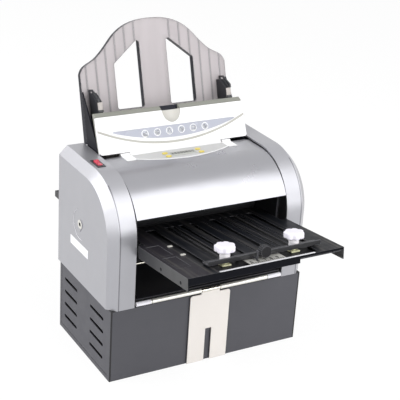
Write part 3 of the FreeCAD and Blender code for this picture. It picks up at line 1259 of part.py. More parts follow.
def fold_plate(frame, out, inside, flange, slot_start, slot_end):
    """The upper sheet with its flanges and the lower sheet under the paper gap."""
    sheet_z = ("-plate_wall", "0")
    deep = f"{out} + {inside}"
    parts = [box(("-plate_half", "plate_half"), ("0", out), sheet_z),
             box(("-tongue_half", "tongue_half"), (out, deep), sheet_z)]
    for _, span in sides(("plate_half - plate_wall", "plate_half")):
        parts.append(box(span, ("0", out), (f"-{flange}", "-plate_wall")))
    tools = plate_slots(slot_start, slot_end)
    if frame == "front":
        lip = ("0", "plate_wall")
        parts.append(box(("-plate_half", "front_lip_end"), lip, ("-front_lip", "-plate_wall")))
        parts.append(box(("front_lip_end", "plate_half"), lip, ("-front_lip_short", "-plate_wall")))
        tools.append(box(("-window_left", "window_right"), ("window_front", "window_back"), ("-overrun", "overrun")))
        for number in range(2):
            start = f"pocket_first + {number} * pocket_pitch"
            tools.append(box(("-pocket_outer", "-pocket_inner"), (start, f"{start} + pocket_length"),
                             ("-pocket_depth", "overrun")))
    piece(f"{frame}_fold_plate", cut(fuse(*parts), *tools), frame)
    low = "-plate_wall - paper_gap"
    lower = [box(("-plate_half + plate_wall", "plate_half - plate_wall"), ("plate_wall", out),
                 (f"{low} - plate_wall", low)),
             box(("-tongue_half", "tongue_half"), (out, deep), (f"{low} - plate_wall", low))]
    for _, span in sides(("plate_half - 3 * plate_wall", "plate_half - plate_wall")):
        lower.append(box(span, ("plate_wall", out), (low, "-plate_wall")))
    for _, span in sides(("tongue_half - 2 * plate_wall", "tongue_half")):
        lower.append(box(span, (out, deep), (low, "-plate_wall")))
    for _, span in sides(("tongue_half", "frame_inner")):
        ear = (f"{out} + ear_start", f"{out} + ear_start + ear_length")
        lower.append(box(span, ear, (f"{low} - plate_wall", "-plate_wall")))
    piece(f"{frame}_lower_sheet", fuse(*lower), frame)


def front_plate_trim():
    piece("front_edge_strip", box(("-strip_half", "strip_half"), ("0", "strip_depth"), ("0", "strip_wall")), "front")
    piece("scale_plate", box(("-scale_left", "scale_right"), ("strip_depth + seat_gap", "scale_back"),
                             ("0", "scale_wall")), "front")


def stop_bar(frame):
    """The paper stop: an angle across the plate with fingers down through the slots."""
    span = ("-bar_left", "bar_right")
    low = "bar_gap"
    foot = box(span, ("bar_front", "bar_front + bar_depth"), (low, f"{low} + bar_wall"))
    web = box(span, ("bar_front", "bar_front + bar_wall"), (low, f"{low} + bar_height"))
    fingers = [box((f"{share} * plate_half - finger_width / 2", f"{share} * plate_half + finger_width / 2"),
                   ("bar_front + bar_depth - bar_wall", "bar_front + bar_depth"),
                   ("-plate_wall - paper_gap + finger_gap", low)) for share in FINGER_SHARES]
    holes = [rod("z", "knob_screw_radius + shaft_play", ("-overrun", "overrun"), (x, KNOB_DEPTH)) for x in KNOB_SPOTS]
    parts = [foot, web, *fingers]
    if frame == "front":
        parts.append(box(("dial_x - dial_bracket", "dial_x + dial_bracket"), ("bar_front", "bar_front + bar_wall"),
                         (low, "dial_rise + dial_bracket")))
        side = ("-pointer_x", "-pointer_x + pointer_width")
        parts.append(box(side, ("pointer_front", "bar_front"), (low, f"{low} + bar_wall")))
        parts.append(box(side, ("pointer_front", "pointer_front + bar_wall"), ("pointer_foot", "pointer_top")))
        holes.append(rod("y", "dial_shaft_radius + shaft_play", ("dial_back", "bar_front + bar_depth"),
                         ("dial_x", "dial_rise")))
    bar = cut(fuse(*parts), *holes)
    if frame == "front":
        piece("front_stop_bar", bar, frame)
        piece("front_clamp_nuts", clamp_nuts(), frame)
    else:
        piece("rear_stop_bar", group(bar, clamp_nuts()), frame)


KNOB_DEPTH = "bar_front + knob_depth"
KNOB_SPOTS = ("-knob_left_x", "knob_right_x")
KNOB_FOOT = "bar_gap + bar_wall + knob_lift"
STUD_TOP = f"{KNOB_FOOT} + stud_grip"


def clamp_nuts():
    """Brass nuts under the plate, each with the stud that its thumb knob turns on."""
    nuts = []
    for x in KNOB_SPOTS:
        plate = box((f"{x} - nut_length / 2", f"{x} + nut_length / 2"), ("nut_front", "nut_back"),
                    ("-nut_drop - nut_wall", "-nut_drop"))
        stud = rod("z", "knob_screw_radius", ("-nut_drop - nut_wall", STUD_TOP), (x, KNOB_DEPTH))
        boss = rod("z", "knob_screw_radius + plate_wall / 2", ("-nut_drop", "bar_gap"), (x, KNOB_DEPTH))
        nuts.append(fuse(plate, boss, stud))
    return group(*nuts)


def thumb_knob(label, frame, x):
    """A lobed head on a round stem, with a blind hole for its stud."""
    y = KNOB_DEPTH
    stem_top = f"{KNOB_FOOT} + knob_stem"
    stem = rod("z", "knob_stem_radius", (KNOB_FOOT, stem_top), (x, y))
    hole = rod("z", "knob_screw_radius + shaft_play", (f"{KNOB_FOOT} - overrun", f"{STUD_TOP} + knob_lift"), (x, y))
    core = rod("z", "knob_valley", (stem_top, f"{stem_top} + knob_head"), (x, y))
    lobe_radius = size("knob_radius") * math.sin(math.pi / size("knob_lobes")) * LOBE_SHARE
    ring = size("knob_radius") - lobe_radius
    height = size("knob_head")
    lobes = []
    for number in range(int(size("knob_lobes"))):
        angle = 2 * math.pi * number / size("knob_lobes")
        centre = FreeCAD.Vector(ring * math.cos(angle), ring * math.sin(angle), 0)
        lobes.append(Part.makeCylinder(lobe_radius, height, centre))
    crown = copy_of(lobes[0].multiFuse(lobes[1:]))
    for axis, text in zip("xyz", (x, y, stem_top)):
        bind(crown, "Placement.Base." + axis, text)
    piece(label, cut(fuse(stem, core, crown), hole), frame)


def fine_dial():
    """A ridged dial on a short shaft through the front stop bar's bracket."""
    spot = ("dial_x", "dial_rise")
    drum = rod("y", "dial_radius - dial_ridge", ("dial_front", "dial_back"), spot)
    shaft = rod("y", "dial_shaft_radius", ("dial_back", "bar_front + 2 * bar_wall + knob_lift"), spot)
    collar_disc = rod("y", "dial_shaft_radius + bar_wall / 2",
                      ("bar_front + bar_wall + knob_lift", "bar_front + 2 * bar_wall + knob_lift"), spot)
    ridges = []
    depth = size("dial_back - dial_front")
    for number in range(int(size("dial_ridges"))):
        angle = 2 * math.pi * number / size("dial_ridges")
        reach = size("dial_radius - dial_ridge")
        ridges.append(Part.makeCylinder(size("dial_ridge"), depth, FreeCAD.Vector(reach * math.cos(angle), 0,
                                        reach * math.sin(angle)), FreeCAD.Vector(0, 1, 0)))
    ring = copy_of(ridges[0].multiFuse(ridges[1:]))
    for axis, text in zip("xyz", ("dial_x", "dial_front", "dial_rise")):
        bind(ring, "Placement.Base." + axis, text)
    piece("fine_dial", fuse(drum, shaft, collar_disc, ring), "front")


# Exit tray and its hinge


def exit_tray():
    """The plate that hangs in front of the base and swings up to catch folded sheets."""
    back = "-tray_plate_y + tray_plate"
    body = pad("XZ", [[("-tray_half", "tray_floor_gap"), ("-tray_slot / 2", "tray_floor_gap"),
                       ("-tray_slot / 2", "tray_slot_height"), ("tray_slot / 2", "tray_slot_height"),
                       ("tray_slot / 2", "tray_floor_gap"), ("tray_half", "tray_floor_gap"),
                       ("tray_half", "tray_top"), ("-tray_half", "tray_top")]], ("-tray_plate_y", back))
    half, top = size("tray_half"), size("tray_top")
    soften(body, "Fillet", "Radius", "tray_round",
           lambda edge: along(edge, "y") and near(abs(edge.BoundBox.Center.x), half)
           and near(edge.BoundBox.Center.z, top))
    tab = box(("-hinge_centre_half", "hinge_centre_half"), ("-tray_plate_y", back),
              ("tray_top - tray_plate", "hinge_z - hinge_radius * cos(45)"))
    piece("exit_tray", cut(fuse(body, tab), rod("x", "hinge_radius", ("-hinge_half", "hinge_half"),
                                                ("-hinge_y", "hinge_z"))))
    knuckle_part = rod("x", "hinge_radius", ("-hinge_centre_half", "hinge_centre_half"), ("-hinge_y", "hinge_z"))
    bore = rod("x", "hinge_rod_radius + shaft_play", ("-hinge_half", "hinge_half"), ("-hinge_y", "hinge_z"))
    piece("tray_knuckle", cut(knuckle_part, bore))


def tray_hinge():
    """Fixed outer knuckles on a ledge, metal tubes between them, and the rod through all."""
    spot = ("-hinge_y", "hinge_z")
    rod_bore = rod("x", "hinge_rod_radius", ("-hinge_half - overrun", "hinge_half + overrun"), spot)
    knuckles = []
    for _, span in sides(("hinge_outer_start", "hinge_half")):
        leaf = box(span, ("-hinge_y", "-hinge_y + hinge_radius + ledge_gap"),
                   ("hinge_z - leaf_wall / 2", "hinge_z + leaf_wall / 2"))
        knuckles.append(cut(fuse(rod("x", "hinge_radius", span, spot), leaf), rod_bore))
    piece("hinge_knuckles", group(*knuckles))
    tubes = [cut(rod("x", "hinge_radius", span, spot), rod_bore)
             for _, span in sides(("hinge_centre_half + hinge_joint", "hinge_outer_start"))]
    piece("hinge_tubes", group(*tubes, rod("x", "hinge_rod_radius", ("-hinge_half", "hinge_half"), spot)))


def exit_chute():
    """The sheet that guides folded paper out, and the ledge that carries the hinge."""
    deck = "base_height"
    ramp = pad("YZ", [[("-exit_lip_y", "exit_lip_z"), ("-exit_lip_y", "exit_lip_z - exit_wall"),
                       ("-exit_end_y", "exit_end_z - exit_wall"), ("-exit_end_y", "exit_end_z")]],
               ("-exit_half", "exit_half"))
    ledge_front = "-hinge_y + hinge_radius + ledge_gap"
    ledge = box(("-ledge_half", "ledge_half"), (ledge_front, "-frame_front - seat_gap"), (deck, "exit_lip_z"))
    inside = box(("-ledge_half - overrun", "ledge_half + overrun"),
                 (f"{ledge_front} + 2 * exit_wall", "-frame_front + overrun"),
                 ("base_height - overrun", "exit_lip_z - exit_wall"))
    piece("exit_chute", fuse(ramp, cut(ledge, inside)))


def build():
    base_chassis()
    base_feet()
    base_side("base_left_panel", -1)
    base_side("base_right_panel", 1)
    base_front()
    power_inlet()
    circuit_board()
    side_cover("left_side_cover", -1)
    side_cover("right_side_cover", 1)
    front_cover()
    rear_cover()
    side_frames()
    tie_rods()
    shaft_bushes()
    fold_rollers()
    feed_roller()
    belts()
    motor()
    hopper_tray()
    paper_support()
    for name, span in sides(("guide_inner", "guide_outer")):
        side_guide(name, span)
    guide_rail()
    lid_outer()
    lid_inner()
    lid_pins()
    control_panel()
    power_switch()
    fold_plate("front", "front_plate_out", "front_plate_in", "front_flange", "slot_front", "slot_back")
    front_plate_trim()
    fold_plate("rear", "rear_plate_out", "rear_plate_in", "rear_flange", "rear_slot_front", "rear_slot_back")
    for frame in ("front", "rear"):
        stop_bar(frame)
    thumb_knob("front_knob_left", "front", "-knob_left_x")
    thumb_knob("front_knob_right", "front", "knob_right_x")
    thumb_knob("rear_knob_left", "rear", "knob_right_x")
    thumb_knob("rear_knob_right", "rear", "-knob_left_x")
    fine_dial()
    exit_tray()
    tray_hinge()
    exit_chute()


def check_and_export():
    doc.recompute()
    for item in doc.Objects:
        if "Invalid" in item.State or "Error" in item.State:
            raise RuntimeError(f"{item.Label} failed: {item.State}")
    os.makedirs("parts", exist_ok=True)
    for item in PIECES:
        shape = item.Shape
        if shape.isNull() or not shape.isValid() or not shape.Solids:
            raise RuntimeError(f"{item.Label} has no sound shape")
    for item in PIECES:
        item.Shape.exportStep(f"parts/{item.Label}.step")
        print(item.Label, len(item.Shape.Solids), round(item.Shape.Volume))
    print(len(PIECES), "pieces")


build()
check_and_export()
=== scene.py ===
"""Looks for a desktop paper folding machine, laid out as an add-on and run as a script."""
import json
import math
import bmesh
import bpy
from bpy.props import FloatProperty, FloatVectorProperty, IntProperty, PointerProperty
from mathutils import Matrix, Vector


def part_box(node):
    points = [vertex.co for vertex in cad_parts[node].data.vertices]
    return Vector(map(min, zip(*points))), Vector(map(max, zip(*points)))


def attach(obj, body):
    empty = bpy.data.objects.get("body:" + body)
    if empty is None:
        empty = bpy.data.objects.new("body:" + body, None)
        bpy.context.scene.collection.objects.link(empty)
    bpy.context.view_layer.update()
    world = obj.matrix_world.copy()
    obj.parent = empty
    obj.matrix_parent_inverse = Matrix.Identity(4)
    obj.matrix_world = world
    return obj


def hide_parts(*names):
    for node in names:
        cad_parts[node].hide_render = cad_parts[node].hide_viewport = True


bl_info = {
    "name": "Paper folding machine looks",
    "version": (1, 0, 0),
    "blender": (4, 5, 0),
    "location": "View3D > Sidebar > Paper folder",
    "description": "Finishes, small parts and studio for a desktop paper folding machine",
    "category": "Object",
}

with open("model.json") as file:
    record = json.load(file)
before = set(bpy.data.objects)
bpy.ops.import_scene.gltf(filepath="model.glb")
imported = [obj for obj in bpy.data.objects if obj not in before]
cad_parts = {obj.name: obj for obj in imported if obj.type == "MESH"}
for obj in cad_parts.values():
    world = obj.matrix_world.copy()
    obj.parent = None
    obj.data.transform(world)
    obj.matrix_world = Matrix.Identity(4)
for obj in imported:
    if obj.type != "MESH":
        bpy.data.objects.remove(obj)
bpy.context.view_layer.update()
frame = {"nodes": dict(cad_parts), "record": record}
NODES = frame["nodes"]
MM = 0.001


def paint(red, green, blue, alpha=1.0):
    """A colour as it is seen on screen, 0 to 255, in linear light."""
    linear = [(v / 255 / 12.92) if v <= 10 else ((v / 255 + 0.055) / 1.055) ** 2.4 for v in (red, green, blue)]
    return (*linear, alpha)


def shade(colour, factor):
    return tuple(min(1.0, v * factor) for v in colour[:3]) + (1.0,)


def leaning(y, z, degrees):
    """The frame of a leaning sub-assembly: across, back along its foot and up its slope."""
    return Matrix.Translation((0, y * MM, z * MM)) @ Matrix.Rotation(math.radians(-degrees), 4, "X")


LID = leaning(33.4, 310.15, 24.9)
SUPPORT = leaning(85.1, 310, 17.2)
FRONT_PLATE = leaning(-243.1, 237.2, 6.843)
REAR_PLATE = Matrix.Translation((0, 0.210, 0.1846)) @ Matrix.Rotation(math.pi, 4, "Z")


# Sizes and colours that a user would change


def length(name, description, value):
    return FloatProperty(name=name, description=description, default=value, unit="LENGTH", subtype="DISTANCE", min=0)


def colour(name, description, *value):
    return FloatVectorProperty(name=name, description=description, default=paint(*value), size=4, subtype="COLOR",
                               min=0, max=1)


class FolderColours(bpy.types.PropertyGroup):
    silver: colour("Silver shell", "Metallic paint of the side covers", 167, 167, 172)
    hood: colour("Silver hood", "Metallic paint of the front cover", 160, 160, 165)
    charcoal: colour("Charcoal", "Powder coat of the base cabinet", 70, 70, 76)
    black: colour("Black", "Enamel of the fold plates and the stops", 27, 27, 30)
    white: colour("White", "White plastic of the lid", 240, 240, 241)
    smoke: colour("Smoke", "Smoky plastic of the paper support", 201, 195, 197)
    label: colour("Label", "Printed label in the lid", 164, 167, 180)
    yellow: colour("Buttons", "Oval buttons on the control panel", 222, 203, 90)
    red: colour("Switch", "Rocker of the power switch", 190, 58, 78)
    # Paler and brighter than brass, as painted light on nuts that sit in shade.
    brass_painted_light: colour("Brass", "Clamp nuts under the front plate", 253, 242, 198)


class FolderSizes(bpy.types.PropertyGroup):
    knob_radius: length("Knob radius", "Thumb knob over its lobes", 0.015)
    knob_valley: length("Knob valley", "Thumb knob between its lobes", 0.0125)
    knob_head: length("Knob head", "Height of a thumb knob's head", 0.010)
    knob_lobes: IntProperty(name="Knob lobes", description="Lobes of a thumb knob", default=7, min=3, max=16)
    icon_radius: length("Fold sign", "Radius of a fold sign on the lid's label", 0.0059)
    screw_radius: length("Screw head", "Radius of the small pan head screws", 0.0025)
    mark_pitch: length("Scale pitch", "From mark to mark on the scale plate", 0.0034)


class StudioSettings(bpy.types.PropertyGroup):
    floor: colour("Floor", "Colour of the studio floor", 244, 244, 245)
    ambient: FloatProperty(name="Ambient", description="Light of the room on the object", default=0.5, min=0)
    key: FloatProperty(name="Key", description="Power of the large soft box in front", default=30, min=0,
                       unit="POWER")
    side: FloatProperty(name="Side", description="Power of the soft box on the left", default=34, min=0,
                        unit="POWER")
    fill: FloatProperty(name="Fill", description="Power of each of the small boxes", default=5, min=0, unit="POWER")


def hues():
    return bpy.context.scene.folder_colours


def measures():
    return bpy.context.scene.folder_sizes


# Materials


FINISHES = {}
RIB_FIRST, RIB_PITCH = 0.0305, 0.01726  # ribs of the paper support, from its middle
LINE_AT, LINE_HALF, LINE_END = 0.1542, 0.0009, -0.05  # painted shade line standing for a small moulded step on the fronts of the side covers
DISH_MIDDLE, DISH_RADIUS, COLLAR_RADIUS, HOLE_RADIUS = (0.013, 0.214), 0.0235, 0.0076, 0.0045
NOTCH_RADII, NOTCH_HEIGHT = (0.0161, 0.0089, 0.0199), 0.05666  # thumb notch of the lid, in the lid's frame
WEAR_FACE, WEAR_LOW, WEAR_HIGH = -0.0297, 0.0514, 0.0631  # bright plate on a guide, in the support's frame
SIGN_LEVEL = 24.3  # height of the fold signs on the lid, in millimetres


class Wiring:
    """What shaders and geometry recipes share."""

    def link(self, source, target):
        self.tree.links.new(source, target)

    def wire(self, socket, value):
        """Link an output to a socket, or set a constant on it."""
        if isinstance(value, bpy.types.NodeSocket):
            self.link(value, socket)
        else:
            socket.default_value = value

    def math(self, operation, *values):
        made = self.tree.nodes.new("ShaderNodeMath")
        made.operation = operation
        for socket, value in zip(made.inputs, values):
            self.wire(socket, value)
        return made.outputs[0]


class Shader(Wiring):
    """A short way to write a material."""

    def __init__(self, name):
        self.material = bpy.data.materials.new(name)
        FINISHES[name] = self.material
        self.material.use_nodes = True
        self.tree = self.material.node_tree
        self.tree.nodes.clear()
        self.out = self.node("ShaderNodeOutputMaterial")
        self.skin = self.node("ShaderNodeBsdfPrincipled")
        self.link(self.skin.outputs[0], self.out.inputs["Surface"])
        self.place = self.node("ShaderNodeTexCoord").outputs["Object"]

    def node(self, kind, **values):
        made = self.tree.nodes.new(kind)
        for name, value in values.items():
            setattr(made, name, value)
        return made

    def noise(self, scale, detail=3.0, stretch=None):
        made = self.node("ShaderNodeTexNoise")
        made.inputs["Scale"].default_value = scale
        made.inputs["Detail"].default_value = detail
        source = self.place
        if stretch:
            mapping = self.node("ShaderNodeMapping")
            mapping.inputs["Scale"].default_value = stretch
            self.link(self.place, mapping.inputs["Vector"])
            source = mapping.outputs[0]
        self.link(source, made.inputs["Vector"])
        return made.outputs["Fac"]

    def ramp(self, factor, *stops):
        made = self.node("ShaderNodeValToRGB")
        ramp = made.color_ramp
        while len(ramp.elements) < len(stops):
            ramp.elements.new(0.5)
        for element, (position, value) in zip(ramp.elements, stops):
            element.position = position
            element.color = value
        self.link(factor, made.inputs["Fac"])
        return made.outputs["Color"]

    def span(self, factor, low, high, start=0.3, end=0.7):
        made = self.node("ShaderNodeMapRange")
        self.link(factor, made.inputs["Value"])
        for name, value in (("From Min", start), ("From Max", end), ("To Min", low), ("To Max", high)):
            made.inputs[name].default_value = value
        return made.outputs[0]

    def blend(self, factor, first, second):
        made = self.node("ShaderNodeMix", data_type="RGBA")
        self.wire(made.inputs["Factor"], factor)
        colour_inputs = [socket for socket in made.inputs if socket.type == "RGBA"]
        for socket, value in zip(colour_inputs, (first, second)):
            self.wire(socket, value)
        return next(socket for socket in made.outputs if socket.type == "RGBA")

    def rounded(self, radius):
        made = self.node("ShaderNodeBevel", samples=4)
        made.inputs["Radius"].default_value = radius
        return made.outputs[0]

    def edge(self, radius, start=0.995, end=0.9):
        """1 at an edge, 0 on a flat."""
        flat = self.node("ShaderNodeNewGeometry").outputs["Normal"]
        product = self.node("ShaderNodeVectorMath", operation="DOT_PRODUCT")
        self.link(self.rounded(radius), product.inputs[0])
        self.link(flat, product.inputs[1])
        return self.span(product.outputs["Value"], 0.0, 1.0, start, end)

    def along(self, axis):
        """A coordinate of the place on the object, in metres."""
        apart = self.node("ShaderNodeSeparateXYZ")
        self.link(self.place, apart.inputs[0])
        return apart.outputs[axis]

    def seams(self, tint, limits):
        """Painted shade: dark where the size of a coordinate is over its limit, in the gap beside a neighbouring part.
        """
        for axis, limit in limits:
            outside = self.math("GREATER_THAN", self.math("ABSOLUTE", self.along(axis)), limit)
            tint = self.blend(outside, tint, paint(22, 22, 25))
        return tint

    def bump(self, height, strength, distance, normal=None):
        made = self.node("ShaderNodeBump")
        made.inputs["Strength"].default_value = strength
        made.inputs["Distance"].default_value = distance
        self.link(height, made.inputs["Height"])
        if normal is not None:
            self.link(normal, made.inputs["Normal"])
        return made.outputs[0]

    def set(self, **values):
        for name, value in values.items():
            self.skin.inputs[name.replace("_", " ")].default_value = value
        return self


def finish(name, base, rough, spread=0.05, tone=0.05, blotch=14, grain=900, relief=0.15, depth=0.00008, metal=0.0,
           brushed=None, corner=0.0006, worn_and_highlit_edges=None, streaks=None, fade=None, seams=(), **more):
    """A surface whose colour, gloss and relief vary in noise; it can fade along an axis, take light streaks, a painted
    highlight along its edges that is partly wear, and painted shade past its seams.
    """
    made = Shader(name)
    patches = made.noise(blotch, 4)
    tint = made.ramp(patches, (0.3, shade(base, 1 - tone)), (0.7, shade(base, 1 + tone)))
    if fade:
        axis, start, end, far = fade
        tint = made.blend(made.span(made.along(axis), 0.0, 1.0, start, end), tint, far)
    if streaks:
        tint = made.blend(made.span(made.noise(130, 3, (1, 0.03, 0.03)), 0.0, 1.0, 0.5, 0.66), tint, streaks)
    # Painted highlight along the edges, partly wear: a lighter colour where the rounded normal turns.
    if worn_and_highlit_edges:
        tint = made.blend(made.edge(corner * 1.6), tint, worn_and_highlit_edges)
    made.link(made.seams(tint, seams), made.skin.inputs["Base Color"])
    made.link(made.span(made.noise(blotch * 3.1, 3), rough - spread, rough + spread), made.skin.inputs["Roughness"])
    fine = made.noise(grain, 2, brushed)
    normal = made.rounded(corner) if corner else None
    made.link(made.bump(fine, relief, depth, normal), made.skin.inputs["Normal"])
    return made.set(Metallic=metal, **more).material


def silver_paint(name, base, rough, metal, seams=()):
    """Metallic lacquer: fine bright flakes under a smooth coat, with painted shade in the seams and a painted shade
    line for a small moulded step on the fronts.
    """
    made = Shader(name)
    flakes = made.node("ShaderNodeTexVoronoi")
    flakes.inputs["Scale"].default_value = 1500
    made.link(made.place, flakes.inputs["Vector"])
    lit = made.ramp(flakes.outputs["Color"], (0.0, shade(base, 0.97)), (1.0, shade(base, 1.03)))
    cloudy = made.ramp(made.noise(9, 3), (0.3, shade(base, 0.97)), (0.7, shade(base, 1.03)))
    both = made.blend(0.5, lit, cloudy)
    # Painted shade line where the fronts would step, at |X| LINE_AT.
    off = made.math("ABSOLUTE", made.math("SUBTRACT", made.math("ABSOLUTE", made.along("X")), LINE_AT))
    near, front = made.math("LESS_THAN", off, LINE_HALF), made.math("LESS_THAN", made.along("Y"), LINE_END)
    line = made.math("MULTIPLY", near, front)
    both = made.blend(made.math("MULTIPLY", line, 0.6), both, paint(70, 70, 76))
    made.link(made.seams(both, seams), made.skin.inputs["Base Color"])
    made.link(made.span(made.noise(40, 3), rough - 0.03, rough + 0.03), made.skin.inputs["Roughness"])
    made.link(made.bump(made.noise(1300, 2), 0.03, 0.00005), made.skin.inputs["Normal"])
    made.set(Metallic=metal)
    made.skin.inputs["Coat Weight"].default_value = 0.25
    made.skin.inputs["Coat Roughness"].default_value = 0.22
    return made.material


def smoked(name, base):
    """Translucent smoky plastic with faint flow marks, with painted shade along each rib and along its edges."""
    made = Shader(name)
    flow = made.noise(7, 4, (6, 1, 1))
    tint = made.ramp(flow, (0.3, shade(base, 0.94)), (0.7, shade(base, 1.04)))
    # Painted shade in a soft band along each rib.
    across = made.math("DIVIDE", made.math("SUBTRACT", made.math("ABSOLUTE", made.along("X")), RIB_FIRST), RIB_PITCH)
    near = made.math("ABSOLUTE", made.math("SUBTRACT", made.math("FRACT", made.math("ADD", across, 0.5)), 0.5))
    ribbed = made.math("MULTIPLY", made.span(near, 1.0, 0.0, 0.02, 0.16),
                       made.math("GREATER_THAN", across, -0.4))
    tint = made.blend(ribbed, tint, shade(base, 0.66))
    # Painted shade along the edges.
    made.link(made.blend(made.edge(0.0017), tint, shade(base, 0.08)), made.skin.inputs["Base Color"])
    made.link(made.span(made.noise(30, 3), 0.3, 0.4), made.skin.inputs["Roughness"])
    made.link(made.bump(made.noise(220, 3), 0.2, 0.0001, made.rounded(0.0008)), made.skin.inputs["Normal"])
    made.skin.inputs["Transmission Weight"].default_value = 0.3
    made.skin.inputs["IOR"].default_value = 1.2
    return made.material


def make_finishes():
    """Every finish of the machine, named for where it is used."""
    tone = hues()
    silver, white, black, charcoal = tone.silver[:], tone.white[:], tone.black[:], tone.charcoal[:]
    silver_paint("silver_shell", silver, 0.38, 0.65)
    # The hood darkens past |X| 126.8 mm as painted shade in the gaps beside the side covers.
    silver_paint("silver_hood", tone.hood[:], 0.3, 0.8, (("X", 0.1268),))
    # Painted shade along the top, front and back edges of the base's side panels, under and beside the covers.
    finish("charcoal_powder_coat", charcoal, 0.52, grain=1400, relief=0.35, depth=0.00015, corner=0.0009,
           worn_and_highlit_edges=shade(charcoal, 1.7), tone=0.03, seams=(("Y", 0.0932), ("Z", 0.1176)))
    # Painted shade along the top edge and the ends of the base's front panel.
    finish("charcoal_front", charcoal, 0.52, grain=1400, relief=0.35, depth=0.00015, corner=0.0009, tone=0.03,
           seams=(("X", 0.1624), ("Z", 0.1176)))
    # Near black as painted shade in seam grooves, hinge joints and the dish's hole.
    finish("seam_shade_dark", paint(26, 26, 29), 0.6)
    # Grey as painted shade in the lid's thumb scoop, and as a painted highlight on the left cover's collar.
    finish("scoop_shade_collar_highlight", paint(196, 194, 188), 0.34, tone=0.02, corner=0)
    finish("black_enamel", black, 0.38, spread=0.08, tone=0.12, grain=700, relief=0.2, worn_and_highlit_edges=shade(black, 12))
    finish("plate_enamel", paint(19, 21, 26), 0.42, spread=0.08, tone=0.1, grain=700, relief=0.2,
           worn_and_highlit_edges=paint(100, 100, 104), streaks=paint(64, 62, 61), fade=("X", -0.0885, -0.0925, paint(38, 36, 41)),
           Specular_IOR_Level=0.12)
    # Lighter copy of the plate's black as painted light on its side flanges, fading to painted shade towards the back.
    finish("flange_light_and_shade", paint(58, 58, 59), 0.45, worn_and_highlit_edges=paint(110, 110, 110),
           fade=("Y", -0.19, -0.14, paint(30, 30, 34)))
    # Darker copy of the black enamel as painted shade on the plate's front lips; also the black of the screw heads.
    finish("black_and_lip_shade", paint(20, 21, 25), 0.5, worn_and_highlit_edges=paint(70, 70, 72), Specular_IOR_Level=0.02)
    finish("hopper_black", paint(22, 22, 29), 0.5, worn_and_highlit_edges=paint(70, 70, 78), Specular_IOR_Level=0.12)
    finish("black_textured_enamel", shade(black, 0.9), 0.5, spread=0.06, tone=0.1, grain=1600, relief=0.5,
           depth=0.0002, worn_and_highlit_edges=shade(black, 12))
    finish("black_plastic", paint(30, 31, 36), 0.4, grain=1500, relief=0.25, worn_and_highlit_edges=paint(58, 59, 66))
    finish("dial_black", paint(20, 20, 23), 0.5, grain=1500, relief=0.25, worn_and_highlit_edges=paint(96, 96, 100),
           Specular_IOR_Level=0.2)
    finish("white_plastic", white, 0.34, tone=0.015, grain=1500, relief=0.12, corner=0.0009)
    finish("white_knob_plastic", paint(232, 229, 239), 0.38, tone=0.02, grain=1300, relief=0.15, corner=0.0008)
    # Lighter than the knob heads, as painted light against the shade under each head.
    finish("knob_stem_painted_light", paint(253, 250, 255), 0.38, tone=0.02, grain=1300, relief=0.15)
    finish("grey_plastic", paint(136, 137, 129), 0.42, tone=0.04, grain=1500, relief=0.2)
    finish("panel_grey_plastic", paint(190, 190, 190), 0.4, tone=0.03, grain=1700, relief=0.2)
    finish("groove_grey", paint(178, 176, 169), 0.4, tone=0.03)
    finish("label_print", tone.label[:], 0.3, tone=0.012, grain=2000, relief=0.05)
    finish("sign_white", paint(250, 250, 250), 0.32, tone=0.01)
    finish("sign_fill", paint(206, 209, 219), 0.4, tone=0.02)
    finish("sign_grey", paint(168, 171, 184), 0.4, tone=0.03)
    finish("blank_label", paint(236, 236, 240), 0.42, tone=0.02, grain=1200, relief=0.05)
    smoked("smoky_plastic", tone.smoke[:])
    # Darker copy of the smoky plastic as painted shade on the support's rib faces.
    finish("smoky_rib_shade", paint(158, 154, 158), 0.4, tone=0.05)
    # Dark navy as painted shade: the paper support's sides and rear, and the wall left in the lid's notch gap.
    finish("shade_navy", paint(30, 31, 40), 0.3, tone=0.1, Specular_IOR_Level=0.1)
    finish("rubber_black", paint(30, 30, 31), 0.75, tone=0.1, grain=500, relief=0.4)
    finish("rubber_grey", paint(34, 35, 38), 0.7, tone=0.08, grain=500, relief=0.4)
    finish("board_green", paint(28, 84, 52), 0.45, tone=0.1)
    finish("steel_bright", paint(212, 208, 198), 0.24, metal=1.0, grain=260, relief=0.12, brushed=(1, 30, 30))
    finish("steel_tray", paint(230, 225, 220), 0.46, metal=0.35, tone=0.02, grain=320, relief=0.12,
           brushed=(30, 30, 1), corner=0.0008)
    finish("hinge_cream", paint(234, 232, 225), 0.32, metal=0.5, tone=0.03, grain=280, relief=0.1,
           brushed=(1, 30, 30))
    finish("knuckle_white", paint(236, 234, 240), 0.4, tone=0.02)
    # Near white on the dish's wall as painted light, where the real wall is in shade.
    finish("dish_wall_painted_light", paint(252, 252, 254), 0.4, tone=0.02, corner=0)
    # Brightened further, as painted light.
    finish("brass_nut_painted_light", shade(tone.brass_painted_light[:], 1.1), 0.45, metal=0.0, tone=0.06, grain=420, relief=0.2)
    finish("bronze_bush", paint(176, 132, 82), 0.4, metal=0.9, tone=0.06)
    finish("motor_grey", paint(120, 122, 126), 0.4, metal=0.7, tone=0.05)
    finish("scale_aluminium", paint(186, 185, 180), 0.38, metal=0.15, tone=0.05, grain=300, relief=0.1,
           brushed=(1, 40, 40))
    finish("mark_black", paint(24, 24, 26), 0.5, tone=0.05)
